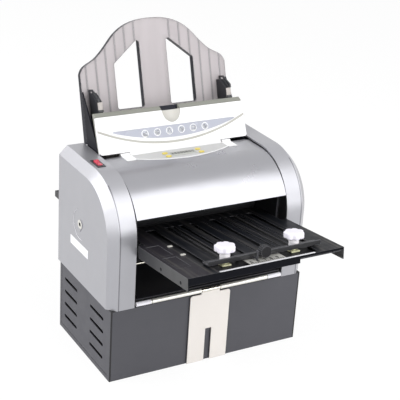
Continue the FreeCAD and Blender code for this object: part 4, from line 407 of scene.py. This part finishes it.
    # Bright strip as a painted highlight along the top edge of the front lip.
    finish("edge_highlight_strip", paint(214, 214, 218), 0.3, metal=0.2, tone=0.02)
    finish("display_grey", paint(182, 184, 178), 0.16, tone=0.05, grain=60, relief=0.02)
    finish("display_dark", paint(44, 46, 44), 0.3, tone=0.05)
    finish("button_yellow", tone.yellow[:], 0.36, tone=0.03)
    finish("switch_red", tone.red[:], 0.28, tone=0.35, blotch=260)
    finish("wear_plate", paint(168, 162, 158), 0.34, metal=0.1, tone=0.05, grain=300, relief=0.15,
           brushed=(30, 30, 1))


SLOT_FINISH = {  # where the finish isn't called what the slot is called
    "steel_charcoal": "charcoal_powder_coat", "plastic_black": "black_plastic", "shell_silver": "silver_shell",
    "steel_black": "black_enamel", "bronze": "bronze_bush", "support_grey": "smoky_plastic",
    "plastic_white": "white_plastic", "plastic_grey": "grey_plastic", "display": "display_grey",
}
NODE_FINISH = {
    "front_cover": "silver_hood", "exit_tray": "steel_tray", "hinge_tubes": "hinge_cream",
    "hinge_knuckles": "knuckle_white", "tray_knuckle": "steel_bright", "front_edge_strip": "edge_highlight_strip",
    "front_clamp_nuts": "brass_nut_painted_light", "control_panel_plate": "panel_grey_plastic",
    "front_lower_sheet": "black_textured_enamel", "fine_dial": "dial_black", "hopper_tray": "hopper_black",
    "base_front_panel": "charcoal_front",
}


def cover(node, *names):
    """Give a CAD node its finishes; the first covers it all."""
    mesh = NODES[node].data
    mesh.materials.clear()
    for name in names:
        mesh.materials.append(FINISHES[name])


def cover_where(node, index, test):
    """Turn the faces that pass the test to one of the node's finishes."""
    mesh = NODES[node].data
    for face in mesh.polygons:
        if test(face.center, face.normal):
            face.material_index = index


# Meshes


def placed(name, mesh):
    made = bpy.data.objects.new(name, mesh)
    bpy.context.scene.collection.objects.link(made)
    return made


def solid(name, points, faces, material):
    """A mesh object from corners in metres in the machine's frame."""
    mesh = bpy.data.meshes.new(name)
    mesh.from_pydata([tuple(p) for p in points], [], faces)
    mesh.update()
    mesh.materials.append(FINISHES[material])
    return placed(name, mesh)


def slab(outline, low, high, place, name, material):
    """An outline in millimetres in a sub-assembly's frame, given a thickness along that frame's normal."""
    flat, to_world = place
    points = [to_world @ Vector(flat(u, v, depth)) for depth in (low, high) for u, v in outline]
    count = len(outline)
    faces = [tuple(range(count))[::-1], tuple(range(count, 2 * count))]
    faces += [(i, (i + 1) % count, count + (i + 1) % count, count + i) for i in range(count)]
    made = solid(name, points, faces, material)
    right_way(made)
    return made


def right_way(made):
    """Turn a closed mesh's faces outwards."""
    shape = bmesh.new()
    shape.from_mesh(made.data)
    bmesh.ops.remove_doubles(shape, verts=shape.verts, dist=1e-7)
    bmesh.ops.recalc_face_normals(shape, faces=shape.faces)
    shape.to_mesh(made.data)
    shape.free()


def circle(x, y, radius, count):
    """Points round a middle, all in the same unit."""
    return [(x + radius * math.cos(a), y + radius * math.sin(a)) for a in (math.tau * i / count for i in range(count))]


def on_lid(u, v, depth):
    return (u * MM, -depth * MM, v * MM)


def on_plate(u, v, depth):
    return (u * MM, v * MM, depth * MM)


def on_side(u, v, depth):
    return (-depth * MM, u * MM, v * MM)


SEGMENTS = {"0": "abcdef", "1": "bc", "2": "abged", "3": "abgcd", "4": "fgbc", "5": "afgcd", "6": "afgedc",
            "7": "abc", "8": "abcdefg", "9": "abcdfg"}


def numerals(text, left, low, height, place, depth, material):
    """Seven-segment figures in millimetres on a sub-assembly's face."""
    wide, bar, parts = height * 0.56, height * 0.21, []
    middle = (height - bar) / 2
    spans = {"a": (0, height - bar, wide, bar), "g": (0, middle, wide, bar), "d": (0, 0, wide, bar),
             "f": (0, middle, bar, height - middle), "b": (wide - bar, middle, bar, height - middle),
             "e": (0, 0, bar, middle), "c": (wide - bar, 0, bar, middle)}
    for place_in_row, figure in enumerate(text):
        x = left + place_in_row * height * 0.75
        for u, v, across, up in (spans[name] for name in SEGMENTS[figure]):
            u, v = x + u, low + v
            corners = [(u, v), (u + across, v), (u + across, v + up), (u, v + up)]
            parts.append(slab(corners, depth - 0.02, depth + 0.04, place, "segment", material))
    return parts


def joined(name, parts):
    """One mesh from several objects, all in the machine's frame."""
    points, faces, slots, materials = [], [], [], []
    for part in parts:
        start = len(points)
        mesh = part.data
        points += [tuple(vertex.co) for vertex in mesh.vertices]
        local = []
        for material in mesh.materials:
            if material not in materials:
                materials.append(material)
            local.append(materials.index(material))
        for face in mesh.polygons:
            faces.append(tuple(start + i for i in face.vertices))
            slots.append(local[face.material_index])
        bpy.data.objects.remove(part)
    mesh = bpy.data.meshes.new(name)
    mesh.from_pydata(points, [], faces)
    for material in materials:
        mesh.materials.append(material)
    mesh.polygons.foreach_set("material_index", slots)
    mesh.update()
    return placed(name, mesh)


def settle(made, body, slot, *replaced):
    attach(made, body)
    if replaced:
        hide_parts(*replaced)
    return made


# Geometry Nodes


class Recipe(Wiring):
    """A geometry node tree with named inputs."""

    def __init__(self, name, inputs):
        self.tree = bpy.data.node_groups.new(name, "GeometryNodeTree")
        face = self.tree.interface
        face.new_socket("Geometry", in_out="INPUT", socket_type="NodeSocketGeometry")
        for label, kind in inputs.items():
            face.new_socket(label, in_out="INPUT", socket_type="NodeSocket" + kind)
        face.new_socket("Geometry", in_out="OUTPUT", socket_type="NodeSocketGeometry")
        self.inputs = self.tree.nodes.new("NodeGroupInput").outputs
        self.out = self.tree.nodes.new("NodeGroupOutput").inputs[0]

    def add(self, kind, settings=None, **wires):
        made = self.tree.nodes.new(kind)
        for name, value in (settings or {}).items():
            setattr(made, name, value)
        for name, value in wires.items():
            self.wire(made.inputs[name.replace("_", " ")], value)
        return made.outputs[0]

    def close(self, geometry, material):
        whole = self.add("GeometryNodeRealizeInstances", Geometry=geometry)
        if material is not None:
            whole = self.add("GeometryNodeSetMaterial", Geometry=whole, Material=material)
        self.link(whole, self.out)
        return self


def grown(name, base, recipe, values):
    """Run a recipe on a base mesh and keep the result as a plain mesh."""
    scaffold = placed(name + "_base", base)
    modifier = scaffold.modifiers.new("recipe", "NODES")
    modifier.node_group = recipe.tree
    for item in recipe.tree.interface.items_tree:
        if item.item_type == "SOCKET" and item.in_out == "INPUT" and item.name in values:
            modifier[item.identifier] = values[item.name]
    bpy.context.view_layer.update()
    result = scaffold.evaluated_get(bpy.context.evaluated_depsgraph_get())
    mesh = bpy.data.meshes.new_from_object(result)
    bpy.data.objects.remove(scaffold)
    mesh.name = name
    return placed(name, mesh)


def spots(name, places):
    """A mesh of loose points with the way each one faces."""
    mesh = bpy.data.meshes.new(name)
    mesh.from_pydata([place for place, way in places], [], [])
    mesh.attributes.new("facing", "FLOAT_VECTOR", "POINT")
    for index, (place, way) in enumerate(places):
        mesh.attributes["facing"].data[index].vector = way
    return mesh


def screw_recipe():
    """Pan head screws with a cross recess, one on each point."""
    made = Recipe("pan_head_screws", {"Head radius": "Float", "Head height": "Float", "Recess": "Float",
                                      "Material": "Material", "Recess material": "Material"})
    radius, height = made.inputs["Head radius"], made.inputs["Head height"]
    ball = made.add("GeometryNodeMeshUVSphere", Segments=24, Rings=12, Radius=1.0)
    size = made.add("ShaderNodeCombineXYZ", X=radius, Y=radius, Z=height)
    head = made.add("GeometryNodeTransform", Geometry=ball, Scale=size)
    arm = made.math("MULTIPLY", radius, 1.25)
    slim = made.math("MULTIPLY", radius, 0.24)
    deep = made.inputs["Recess"]
    lift = made.add("ShaderNodeCombineXYZ", Z=height)
    arms = []
    for flip in (False, True):
        x, y = (slim, arm) if flip else (arm, slim)
        bar = made.add("GeometryNodeMeshCube", Size=made.add("ShaderNodeCombineXYZ", X=x, Y=y, Z=deep))
        bar = made.add("GeometryNodeTransform", Geometry=bar, Translation=lift)
        arms.append(made.add("GeometryNodeSetMaterial", Geometry=bar, Material=made.inputs["Recess material"]))
    head = made.add("GeometryNodeSetMaterial", Geometry=head, Material=made.inputs["Material"])
    boolean = made.tree.nodes.new("GeometryNodeMeshBoolean")
    boolean.operation = "DIFFERENCE"
    made.wire(boolean.inputs["Mesh 1"], head)
    for bar in arms:
        made.link(bar, boolean.inputs["Mesh 2"])
    way = made.add("GeometryNodeInputNamedAttribute", {"data_type": "FLOAT_VECTOR"}, Name="facing")
    turn = made.add("FunctionNodeAlignRotationToVector", {"axis": "Z"}, Vector=way)
    dots = made.add("GeometryNodeMeshToPoints", Mesh=made.inputs["Geometry"])
    heads = made.add("GeometryNodeInstanceOnPoints", Points=dots, Instance=boolean.outputs[0], Rotation=turn)
    return made.close(heads, None)


def marks_recipe():
    """A row of scale marks, every fifth one longer."""
    made = Recipe("scale_marks", {"Count": "Int", "Pitch": "Float", "Width": "Float", "Length": "Float",
                                  "Long share": "Float", "Material": "Material"})
    step = made.add("ShaderNodeCombineXYZ", X=made.inputs["Pitch"])
    line = made.add("GeometryNodeMeshLine", Count=made.inputs["Count"], Offset=step)
    bar = made.add("GeometryNodeMeshCube",
                   Size=made.add("ShaderNodeCombineXYZ", X=made.inputs["Width"], Y=made.inputs["Length"], Z=0.0001))
    index = made.add("GeometryNodeInputIndex")
    fifth = made.math("COMPARE", made.math("MODULO", index, 5.0), 0.0, 0.1)
    tall = made.math("MULTIPLY_ADD", fifth, made.math("SUBTRACT", made.inputs["Long share"], 1.0), 1.0)
    bars = made.add("GeometryNodeInstanceOnPoints", Points=line, Instance=bar,
                    Scale=made.add("ShaderNodeCombineXYZ", X=1.0, Y=tall, Z=1.0))
    return made.close(bars, made.inputs["Material"])


def knob_recipe():
    """A lobed head whose radius follows a wave round its axis and a rounded shoulder along it."""
    made = Recipe("lobed_knob", {"Lobes": "Float", "Radius": "Float", "Valley": "Float", "Height": "Float",
                                 "Shoulder": "Float", "Material": "Material"})
    radius, height, shoulder = (made.inputs[name] for name in ("Radius", "Height", "Shoulder"))
    drum = made.add("GeometryNodeMeshCylinder", {"fill_type": "TRIANGLE_FAN"}, Vertices=168, Side_Segments=14,
                    Fill_Segments=9, Radius=radius, Depth=height)
    here = made.add("GeometryNodeInputPosition")
    apart = made.tree.nodes.new("ShaderNodeSeparateXYZ")
    made.wire(apart.inputs[0], here)
    x, y, z = apart.outputs
    wave = made.math("COSINE", made.math("MULTIPLY", made.math("ARCTAN2", y, x), made.inputs["Lobes"]))
    dip = made.math("POWER", made.math("MULTIPLY_ADD", wave, -0.5, 0.5), 2.0)
    depth = made.math("SUBTRACT", radius, made.inputs["Valley"])
    rim = made.math("DIVIDE", made.math("MULTIPLY", dip, depth), radius)
    half = made.math("MULTIPLY", height, 0.5)
    over = made.math("MAXIMUM", made.math("SUBTRACT", made.math("ADD", made.math("ABSOLUTE", z), shoulder), half), 0.0)
    part = made.math("MINIMUM", made.math("DIVIDE", over, shoulder), 1.0)
    drop = made.math("SUBTRACT", 1.0, made.math("SQRT", made.math("SUBTRACT", 1.0, made.math("MULTIPLY", part, part))))
    pull = made.math("DIVIDE", made.math("MULTIPLY", drop, shoulder), radius)
    scale = made.math("SUBTRACT", 1.0, made.math("ADD", rim, pull))
    moved = made.add("ShaderNodeCombineXYZ", X=made.math("MULTIPLY", x, scale), Y=made.math("MULTIPLY", y, scale), Z=z)
    shaped = made.add("GeometryNodeSetPosition", Geometry=drum, Position=moved)
    smooth = made.add("GeometryNodeSetShadeSmooth", Geometry=shaped)
    return made.close(smooth, made.inputs["Material"])


# Operators, one for each piece or group of like pieces


class FOLDER_OT_studio(bpy.types.Operator):
    """Floor, backdrop, soft boxes and the camera at the photograph's angle"""
    bl_idname = "folder.studio"
    bl_label = "Studio"

    def execute(self, context):
        self.floor(context)
        self.room(context)
        self.boxes(context)
        self.camera(context)
        context.scene.view_settings.view_transform = "Standard"
        return {"FINISHED"}

    def floor(self, context):
        made = Shader("studio_floor")
        tint = context.scene.folder_studio.floor[:]
        made.link(made.ramp(made.noise(0.8), (0.3, shade(tint, 0.99)), (0.7, tint)), made.skin.inputs["Base Color"])
        made.set(Roughness=0.9)
        glow = made.node("ShaderNodeEmission")
        seen = made.node("ShaderNodeLightPath")
        direct = made.math("MAXIMUM", seen.outputs["Is Camera Ray"], made.math(
            "MAXIMUM", seen.outputs["Is Glossy Ray"], seen.outputs["Is Transmission Ray"]))
        mix = made.node("ShaderNodeMixShader")
        glow.inputs["Strength"].default_value = 1.03
        made.link(made.math("MULTIPLY", direct, 0.88), mix.inputs[0])
        made.link(made.skin.outputs[0], mix.inputs[1])
        made.link(glow.outputs[0], mix.inputs[2])
        made.link(mix.outputs[0], made.out.inputs["Surface"])
        reach = 12
        solid("floor", [(-reach, -reach, 0), (reach, -reach, 0), (reach, reach, 0), (-reach, reach, 0)],
                       [(0, 1, 2, 3)], "studio_floor")

    def room(self, context):
        world = bpy.data.worlds.new("studio_room")
        world.use_nodes = True
        tree = world.node_tree
        tree.nodes.clear()
        out, back, seen, first, second, level = (tree.nodes.new("ShaderNode" + kind) for kind in (
            "OutputWorld", "Background", "LightPath", "Math", "Math", "MapRange"))
        first.operation = second.operation = "MAXIMUM"
        level.inputs["To Min"].default_value = context.scene.folder_studio.ambient
        back.inputs["Color"].default_value = (1, 1, 1, 1)
        for source, target in ((seen.outputs["Is Camera Ray"], first.inputs[0]),
                               (seen.outputs["Is Glossy Ray"], first.inputs[1]),
                               (seen.outputs["Is Transmission Ray"], second.inputs[1]),
                               (first.outputs[0], second.inputs[0]), (second.outputs[0], level.inputs["Value"]),
                               (level.outputs[0], back.inputs["Strength"]), (back.outputs[0], out.inputs["Surface"])):
            tree.links.new(source, target)
        context.scene.world = world

    def boxes(self, context):
        power = context.scene.folder_studio
        for name, place, aim, across, tall, watts in (
                ("front_soft_box", (0.75, -1.45, 1.7), (0, -0.05, 0.26), 1.7, 2.0, power.key),
                ("front_low_box", (0.7, -1.85, 0.42), (-0.02, -0.1, 0.2), 1.4, 0.6, power.fill * 1.7),
                ("left_soft_box", (-1.75, 0.45, 1.5), (-0.1, 0, 0.25), 2.4, 1.3, power.side),
                ("left_low_box", (-1.95, -0.8, 0.6), (-0.1, 0, 0.22), 0.7, 0.7, power.fill),
                ("back_left_box", (-0.85, 1.75, 1.25), (-0.1, 0, 0.3), 0.9, 0.9, power.fill / 2)):
            lamp = bpy.data.lights.new(name, "AREA")
            lamp.shape = "RECTANGLE"
            lamp.size, lamp.size_y, lamp.energy = across, tall, watts
            made = bpy.data.objects.new(name, lamp)
            made.location = place
            made.rotation_euler = (Vector(aim) - Vector(place)).to_track_quat("-Z", "Y").to_euler()
            context.scene.collection.objects.link(made)

    def camera(self, context):
        azimuth, elevation, roll = (math.radians(v) for v in (-30.78, 23.23, 3.66))
        back = Vector((math.sin(azimuth) * math.cos(elevation), -math.cos(azimuth) * math.cos(elevation),
                       math.sin(elevation)))
        right = (-back).cross(Vector((0, 0, 1))).normalized()
        up = right.cross(-back)
        across = right * math.cos(roll) + up * math.sin(roll)
        upward = up * math.cos(roll) - right * math.sin(roll)
        lens = bpy.data.cameras.new("camera")
        lens.lens, lens.sensor_width, lens.clip_start, lens.clip_end = 99.04, 36, 0.05, 60
        camera = bpy.data.objects.new("camera", lens)
        turn = Matrix((across, upward, back)).transposed().to_4x4()
        camera.matrix_world = Matrix.Translation((-0.77861, -1.35505, 0.90439)) @ turn
        context.scene.collection.objects.link(camera)
        context.scene.camera = camera


class FOLDER_OT_finishes(bpy.types.Operator):
    """Give every CAD part its finish, and its edges, ribs and plates their own"""
    bl_idname = "folder.finishes"
    bl_label = "Finishes"

    def execute(self, context):
        make_finishes()
        for part in frame["record"]["subparts"]:
            node, slot = part["node"], part["material_slot"]
            cover(node, NODE_FINISH.get(node, SLOT_FINISH.get(slot, slot)))
        for dress in (self.support, self.guides, self.lid, self.cabinet, self.plate, self.dish):
            dress()
        return {"FINISHED"}

    def plate(self):
        """Painted shade on the front lips and painted light on the side flanges of the front fold plate."""
        cover("front_fold_plate", "plate_enamel", "flange_light_and_shade", "black_and_lip_shade")
        cover_where("front_fold_plate", 1, lambda centre, way: abs(way.x) > 0.9 and abs(centre.x) > 0.12)
        cover_where("front_fold_plate", 2, lambda centre, way: way.y < -0.9 and centre.y < -0.235)

    def dish(self):
        """Painted light on the wall of the round dish, a painted highlight on the collar at its middle and painted
        shade in its hole.
        """
        cover("left_side_cover", "silver_shell", "dish_wall_painted_light", "seam_shade_dark", "scoop_shade_collar_highlight")

        def off(centre):
            return math.hypot(centre.y - DISH_MIDDLE[0], centre.z - DISH_MIDDLE[1])

        cover_where("left_side_cover", 1, lambda centre, way: abs(way.x) < 0.5 and centre.x < -0.1675
                    and abs(off(centre) - DISH_RADIUS) < 0.001)
        cover_where("left_side_cover", 3, lambda centre, way: way.x < -0.9 and off(centre) < COLLAR_RADIUS
                    and centre.x < -0.1686)
        cover_where("left_side_cover", 2, lambda centre, way: abs(way.x) < 0.5 and off(centre) < HOLE_RADIUS)

    def support(self):
        back = SUPPORT.inverted()
        turn = SUPPORT.to_3x3().transposed()
        cover("paper_support", "smoky_plastic", "shade_navy", "smoky_rib_shade")
        # Painted shade on the support's side and rear faces.
        cover_where("paper_support", 1, lambda centre, way: abs((turn @ way).y) < 0.5 or (back @ centre).y > 0.0041)
        # The ribs' faces take the darker copy as painted shade.
        cover_where("paper_support", 2, lambda centre, way: (back @ centre).y < -0.0001)

    def guides(self):
        """The bright wear plate on the front of each guide's block."""
        back = SUPPORT.inverted()
        for node in ("left_guide", "right_guide"):
            cover(node, "black_plastic", "wear_plate")
            cover_where(node, 1, lambda centre, way: (back @ centre).y < WEAR_FACE
                        and WEAR_LOW < (back @ centre).z < WEAR_HIGH)

    def lid(self):
        """The thumb notch is a scoop through both shells, painted grey as painted shade."""
        back = LID.inverted()
        turn = LID.to_3x3().transposed()

        def scooped(centre, way):
            at, facing = back @ centre, turn @ way
            reach = sum((v / r) ** 2 for v, r in zip((at.x, at.y, at.z - NOTCH_HEIGHT), NOTCH_RADII))
            return reach < 1.01 and facing.y < 0.999 and at.y > 0.00001

        for node, base in (("lid_outer", "white_plastic"), ("lid_inner", "grey_plastic")):
            cover(node, base, "scoop_shade_collar_highlight", "shade_navy")
            cover_where(node, 1, scooped)
        # The wall behind the notch's gap takes dark navy as painted shade of the interior.
        cover_where("lid_inner", 2, lambda centre, way: (turn @ way).y < -0.9 and (back @ centre).y > 0.0085
                    and abs(centre.x) < 0.017 and (back @ centre).z > NOTCH_HEIGHT - 0.00006)

    def cabinet(self):
        """Painted shade in the seam grooves of the side panels."""
        for node in ("base_left_panel", "base_right_panel"):
            low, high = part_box(node)
            face = max(abs(low.x), abs(high.x))
            cover(node, "charcoal_powder_coat", "seam_shade_dark")
            cover_where(node, 1, lambda centre, way: face - 0.0007 < abs(centre.x) < face - 0.0001
                        and abs(centre.y) < 0.0895 and 0.006 < centre.z < 0.114)


class FOLDER_OT_lid_print(bpy.types.Operator):
    """Label with its fold signs and the strip in the groove of the lid"""
    bl_idname = "folder.lid_print"
    bl_label = "Lid label"

    SIGNS = (-49.8, -28.7, -7.8, 13.1, 34.0, 55.0)

    def execute(self, context):
        place = (on_lid, LID)
        parts = [self.sheet(place)]
        radius = measures().icon_radius / MM
        for number, x in enumerate(self.SIGNS):
            for share, low, high, finish_name in ((1, -0.28, -0.22, "sign_white"), (0.84, -0.23, -0.19, "sign_fill")):
                disc = circle(x, SIGN_LEVEL, share * radius, 36)
                parts.append(slab(disc, low, high, place, "disc", finish_name))
            parts += self.sign(number, x, place)
        settle(joined("lid_label", parts), "lid", "plastic_white")
        settle(self.groove(place), "lid", "plastic_grey")
        return {"FINISHED"}

    def sheet(self, place):
        half, middle, radius, low, top = 107.2, 3.5, 340, 14.0, 32.7
        arc = []
        for i in range(65):
            u = -half + 2 * half * i / 64
            arc.append((middle + u, min(top - 0.4, low + radius - math.sqrt(radius * radius - u * u))))
        outline = arc + [(middle + half, top), (middle - half, top)]
        return slab(outline, -0.39, -0.28, place, "sheet", "label_print")

    def sign(self, number, x, place):
        """A folded sheet seen from its edge: a few thin strokes, different on each disc."""
        shapes = [
            [(-3, -2.4), (3, -2.4), (-2.4, -0.4), (3, 1.6)],
            [(-3, 2.2), (2.8, 2.2), (-2.8, 0.2), (2.8, -1.8), (-1, -1.8)],
            [(-2.6, -2.6), (0, 2.8), (2.6, -2.6)],
            [(-3, -1.8), (-1, 2.2), (1, -1.8), (3, 2.2)],
            [(-2.8, 2), (2.8, 2), (2.8, -2), (-1.6, -2), (-1.6, 0.4)],
            [(-3, 0), (-0.6, 2.6), (0.6, -2.6), (3, 0)],
        ][number]
        made = []
        for (x0, y0), (x1, y1) in zip(shapes, shapes[1:]):
            x0, y0, x1, y1 = (1.2 * value for value in (x0, y0, x1, y1))
            along = Vector((x1 - x0, y1 - y0)).normalized() * 0.5
            across = Vector((-along.y, along.x))
            start, end = Vector((x + x0, SIGN_LEVEL + y0)) - along, Vector((x + x1, SIGN_LEVEL + y1)) + along
            corners = [start + across, start - across, end - across, end + across]
            for shift, name in ((0, "sign_grey"), (1.15, "sign_white")):
                made.append(slab([(c.x, c.y - shift) for c in corners], -0.2, -0.14, place, "stroke", name))
        return made

    def groove(self, place):
        """White filling of the curved groove and the grey line over it."""
        parts = []
        for radius, low, width, deep, high, material in ((335, 9.1, 2.8, -0.78, -0.02, "white_plastic"),
                                                         (295.3, 5.4, 3.3, -0.03, 0.06, "groove_grey")):
            lower = []
            for u in (-127 + 254 * i / 96 for i in range(97)):
                lower.append((u, low + radius - math.sqrt(radius * radius - u * u)))
            upper = [(u, v + width) for u, v in reversed(lower)]
            parts.append(slab(lower + upper, deep, high, place, "line", material))
        return joined("lid_groove_strip", parts)


class FOLDER_OT_side_label(bpy.types.Operator):
    """Blank label plate on the left cover"""
    bl_idname = "folder.side_label"
    bl_label = "Side label"

    def execute(self, context):
        place = (on_side, Matrix.Identity(4))
        outermost = -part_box("left_side_cover")[0].x / MM
        corners = self.rounded(-18, 46.5, 170, 184, 1.2)
        made = slab(corners, 168.9, outermost, place, "side_label", "blank_label")
        settle(made, "housing", "plastic_white")
        return {"FINISHED"}

    def rounded(self, y0, y1, z0, z1, r):
        points = []
        for cy, cz, start in ((y1 - r, z1 - r, 0), (y0 + r, z1 - r, 90), (y0 + r, z0 + r, 180), (y1 - r, z0 + r, 270)):
            for i in range(6):
                a = math.radians(start + 18 * i)
                points.append((cy + r * math.cos(a), cz + r * math.sin(a)))
        return points


class FOLDER_OT_thumb_knobs(bpy.types.Operator):
    """The four white thumb knobs with rounded lobes"""
    bl_idname = "folder.thumb_knobs"
    bl_label = "Thumb knobs"

    def execute(self, context):
        recipe = knob_recipe()
        for node, x, place in (("front_knob_left", -52.5, FRONT_PLATE), ("front_knob_right", 61, FRONT_PLATE),
                               ("rear_knob_left", 61, REAR_PLATE), ("rear_knob_right", -52.5, REAR_PLATE)):
            body = next(name for name, nodes in frame["record"]["behaviour"]["bodies"].items() if node in nodes)
            self.knob(recipe, node, body, place @ Matrix.Translation((x * MM, 30.5 * MM, 0)))
        return {"FINISHED"}

    def knob(self, recipe, node, body, place):
        size = measures()
        head = grown("head", bpy.data.meshes.new("knob_base"), recipe, {
            "Lobes": float(size.knob_lobes), "Radius": size.knob_radius - 0.00005, "Valley": size.knob_valley,
            "Height": size.knob_head, "Shoulder": 0.0026, "Material": FINISHES["white_knob_plastic"]})
        head.data.transform(Matrix.Translation((0, 0, 0.021)))
        stem = self.turned([(2.6, 4.5), (7.0, 4.5), (7.4, 4.9), (7.4, 12.6), (7.7, 14.2), (8.6, 15.4), (10.2, 16.1)])
        made = joined(node + "_turned", [head, stem])
        made.data.transform(place)
        made.data.shade_smooth()
        settle(made, body, "plastic_white", node)

    def turned(self, profile):
        """A profile of radius and height in millimetres, turned about the axis."""
        count = 64
        points = [(x, y, z * MM) for r, z in profile for x, y in circle(0, 0, r * MM, count)]
        faces = [(k * count + i, k * count + (i + 1) % count, (k + 1) * count + (i + 1) % count, (k + 1) * count + i)
                 for k in range(len(profile) - 1) for i in range(count)]
        return solid("turned", points, faces, "knob_stem_painted_light")


class FOLDER_OT_scale(bpy.types.Operator):
    """Print on the scale plate, clips of the front plate and painted shade in the joints of the tray's hinge"""
    bl_idname = "folder.scale"
    bl_label = "Scale and fittings"

    def execute(self, context):
        recipe = marks_recipe()
        size = measures()
        count = int(0.052 / size.mark_pitch) + 1
        marks = grown("scale_marks", bpy.data.meshes.new("marks_base"), recipe, {
            "Count": count, "Pitch": size.mark_pitch, "Width": 0.0017, "Length": 0.0034, "Long share": 1.3,
            "Material": FINISHES["mark_black"]})
        marks.data.transform(FRONT_PLATE @ Matrix.Translation((-24 * MM, 6.2 * MM, 0.54 * MM)))
        figures = []
        for place, text in enumerate(("5", "6", "7", "8", "9")):
            figures += numerals(text, -23 + 10.5 * place, 8.6, 6.2, (on_plate, FRONT_PLATE), 0.54, "mark_black")
        settle(joined("scale_print", [marks, *figures]), "housing", "scale_aluminium")
        self.clips()
        self.rings()
        return {"FINISHED"}

    def clips(self):
        """Two bright spring clips beside the left pocket."""
        parts = []
        for d in (83, 122):
            outline = [(-92.4, d - 2.2), (-85.6, d - 2.2), (-85.6, d + 2.2), (-92.4, d + 2.2)]
            parts.append(slab(outline, 0.02, 1.6, (on_plate, FRONT_PLATE), "clip", "hinge_cream"))
        settle(joined("plate_clips", parts), "housing", "steel_bright")

    def rings(self):
        """Dark rings as painted shade in the joints between the hinge's tubes and knuckles."""
        low, high = (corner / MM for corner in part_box("hinge_tubes"))
        y, z, r = (low.y + high.y) / 2, (low.z + high.z) / 2, (high.z - low.z) / 2 + 0.04
        parts = [slab(circle(y, z, r, 32), -x - 0.4, -x + 0.4, (on_side, Matrix.Identity(4)), "ring", "seam_shade_dark")
                 for x in (-100, -16, 16, 101)]
        settle(joined("hinge_rings", parts), "housing", "steel_bright")


class FOLDER_OT_panel(bpy.types.Operator):
    """Digits on the display of the control panel"""
    bl_idname = "folder.panel"
    bl_label = "Control panel"

    def execute(self, context):
        low, high = (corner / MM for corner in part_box("lcd_window"))
        parts = numerals("20300805", low.x + 1.5, low.y + 6, 6.6, (on_plate, Matrix.Identity(4)), high.z,
                         "display_dark")
        settle(joined("display_digits", parts), "housing", "display")
        return {"FINISHED"}


class FOLDER_OT_screws(bpy.types.Operator):
    """Small pan head screws of the front fold plate and the cabinet's rear wall"""
    bl_idname = "folder.screws"
    bl_label = "Screws"

    def execute(self, context):
        places = []
        low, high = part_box("front_fold_plate")
        for d in (20.4, 77.4):
            for x, way in ((low.x, -1), (high.x, 1)):
                places.append((FRONT_PLATE @ Vector((x, d * MM, -12.3 * MM)), (way, 0, 0)))
        low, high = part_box("base_chassis")
        places += [((side * (high.x - 0.009), high.y, z), (0, 1, 0)) for side in (-1, 1)
                   for z in (low.z + 0.012, high.z - 0.012)]
        recipe = screw_recipe()
        made = grown("plate_screws", spots("screw_spots", places), recipe, {
            "Head radius": measures().screw_radius, "Head height": 0.0006, "Recess": 0.0007,
            "Material": FINISHES["black_and_lip_shade"], "Recess material": FINISHES["mark_black"]})
        made.data.shade_smooth()
        settle(made, "housing", "steel_black")
        return {"FINISHED"}


class FOLDER_PT_panel(bpy.types.Panel):
    """Lists the machine's pieces, its sizes and its colours"""
    bl_label = "Paper folder"
    bl_space_type = "VIEW_3D"
    bl_region_type = "UI"
    bl_category = "Paper folder"

    def draw(self, context):
        for operator in OPERATORS:
            self.layout.operator(operator.bl_idname)
        for group in (context.scene.folder_colours, context.scene.folder_sizes, context.scene.folder_studio):
            for name in group.__annotations__:
                self.layout.prop(group, name)


OPERATORS = (FOLDER_OT_studio, FOLDER_OT_finishes, FOLDER_OT_lid_print, FOLDER_OT_side_label, FOLDER_OT_thumb_knobs,
             FOLDER_OT_scale, FOLDER_OT_panel, FOLDER_OT_screws)
CLASSES = (FolderColours, FolderSizes, StudioSettings, *OPERATORS, FOLDER_PT_panel)


def register():
    for item in CLASSES:
        bpy.utils.register_class(item)
    bpy.types.Scene.folder_colours = PointerProperty(type=FolderColours)
    bpy.types.Scene.folder_sizes = PointerProperty(type=FolderSizes)
    bpy.types.Scene.folder_studio = PointerProperty(type=StudioSettings)


def unregister():
    for name in ("folder_colours", "folder_sizes", "folder_studio"):
        delattr(bpy.types.Scene, name)
    for item in reversed(CLASSES):
        bpy.utils.unregister_class(item)


def main():
    register()
    for operator in OPERATORS:
        getattr(bpy.ops.folder, operator.bl_idname.split(".")[1])()


if __name__ == "__main__":
    main()
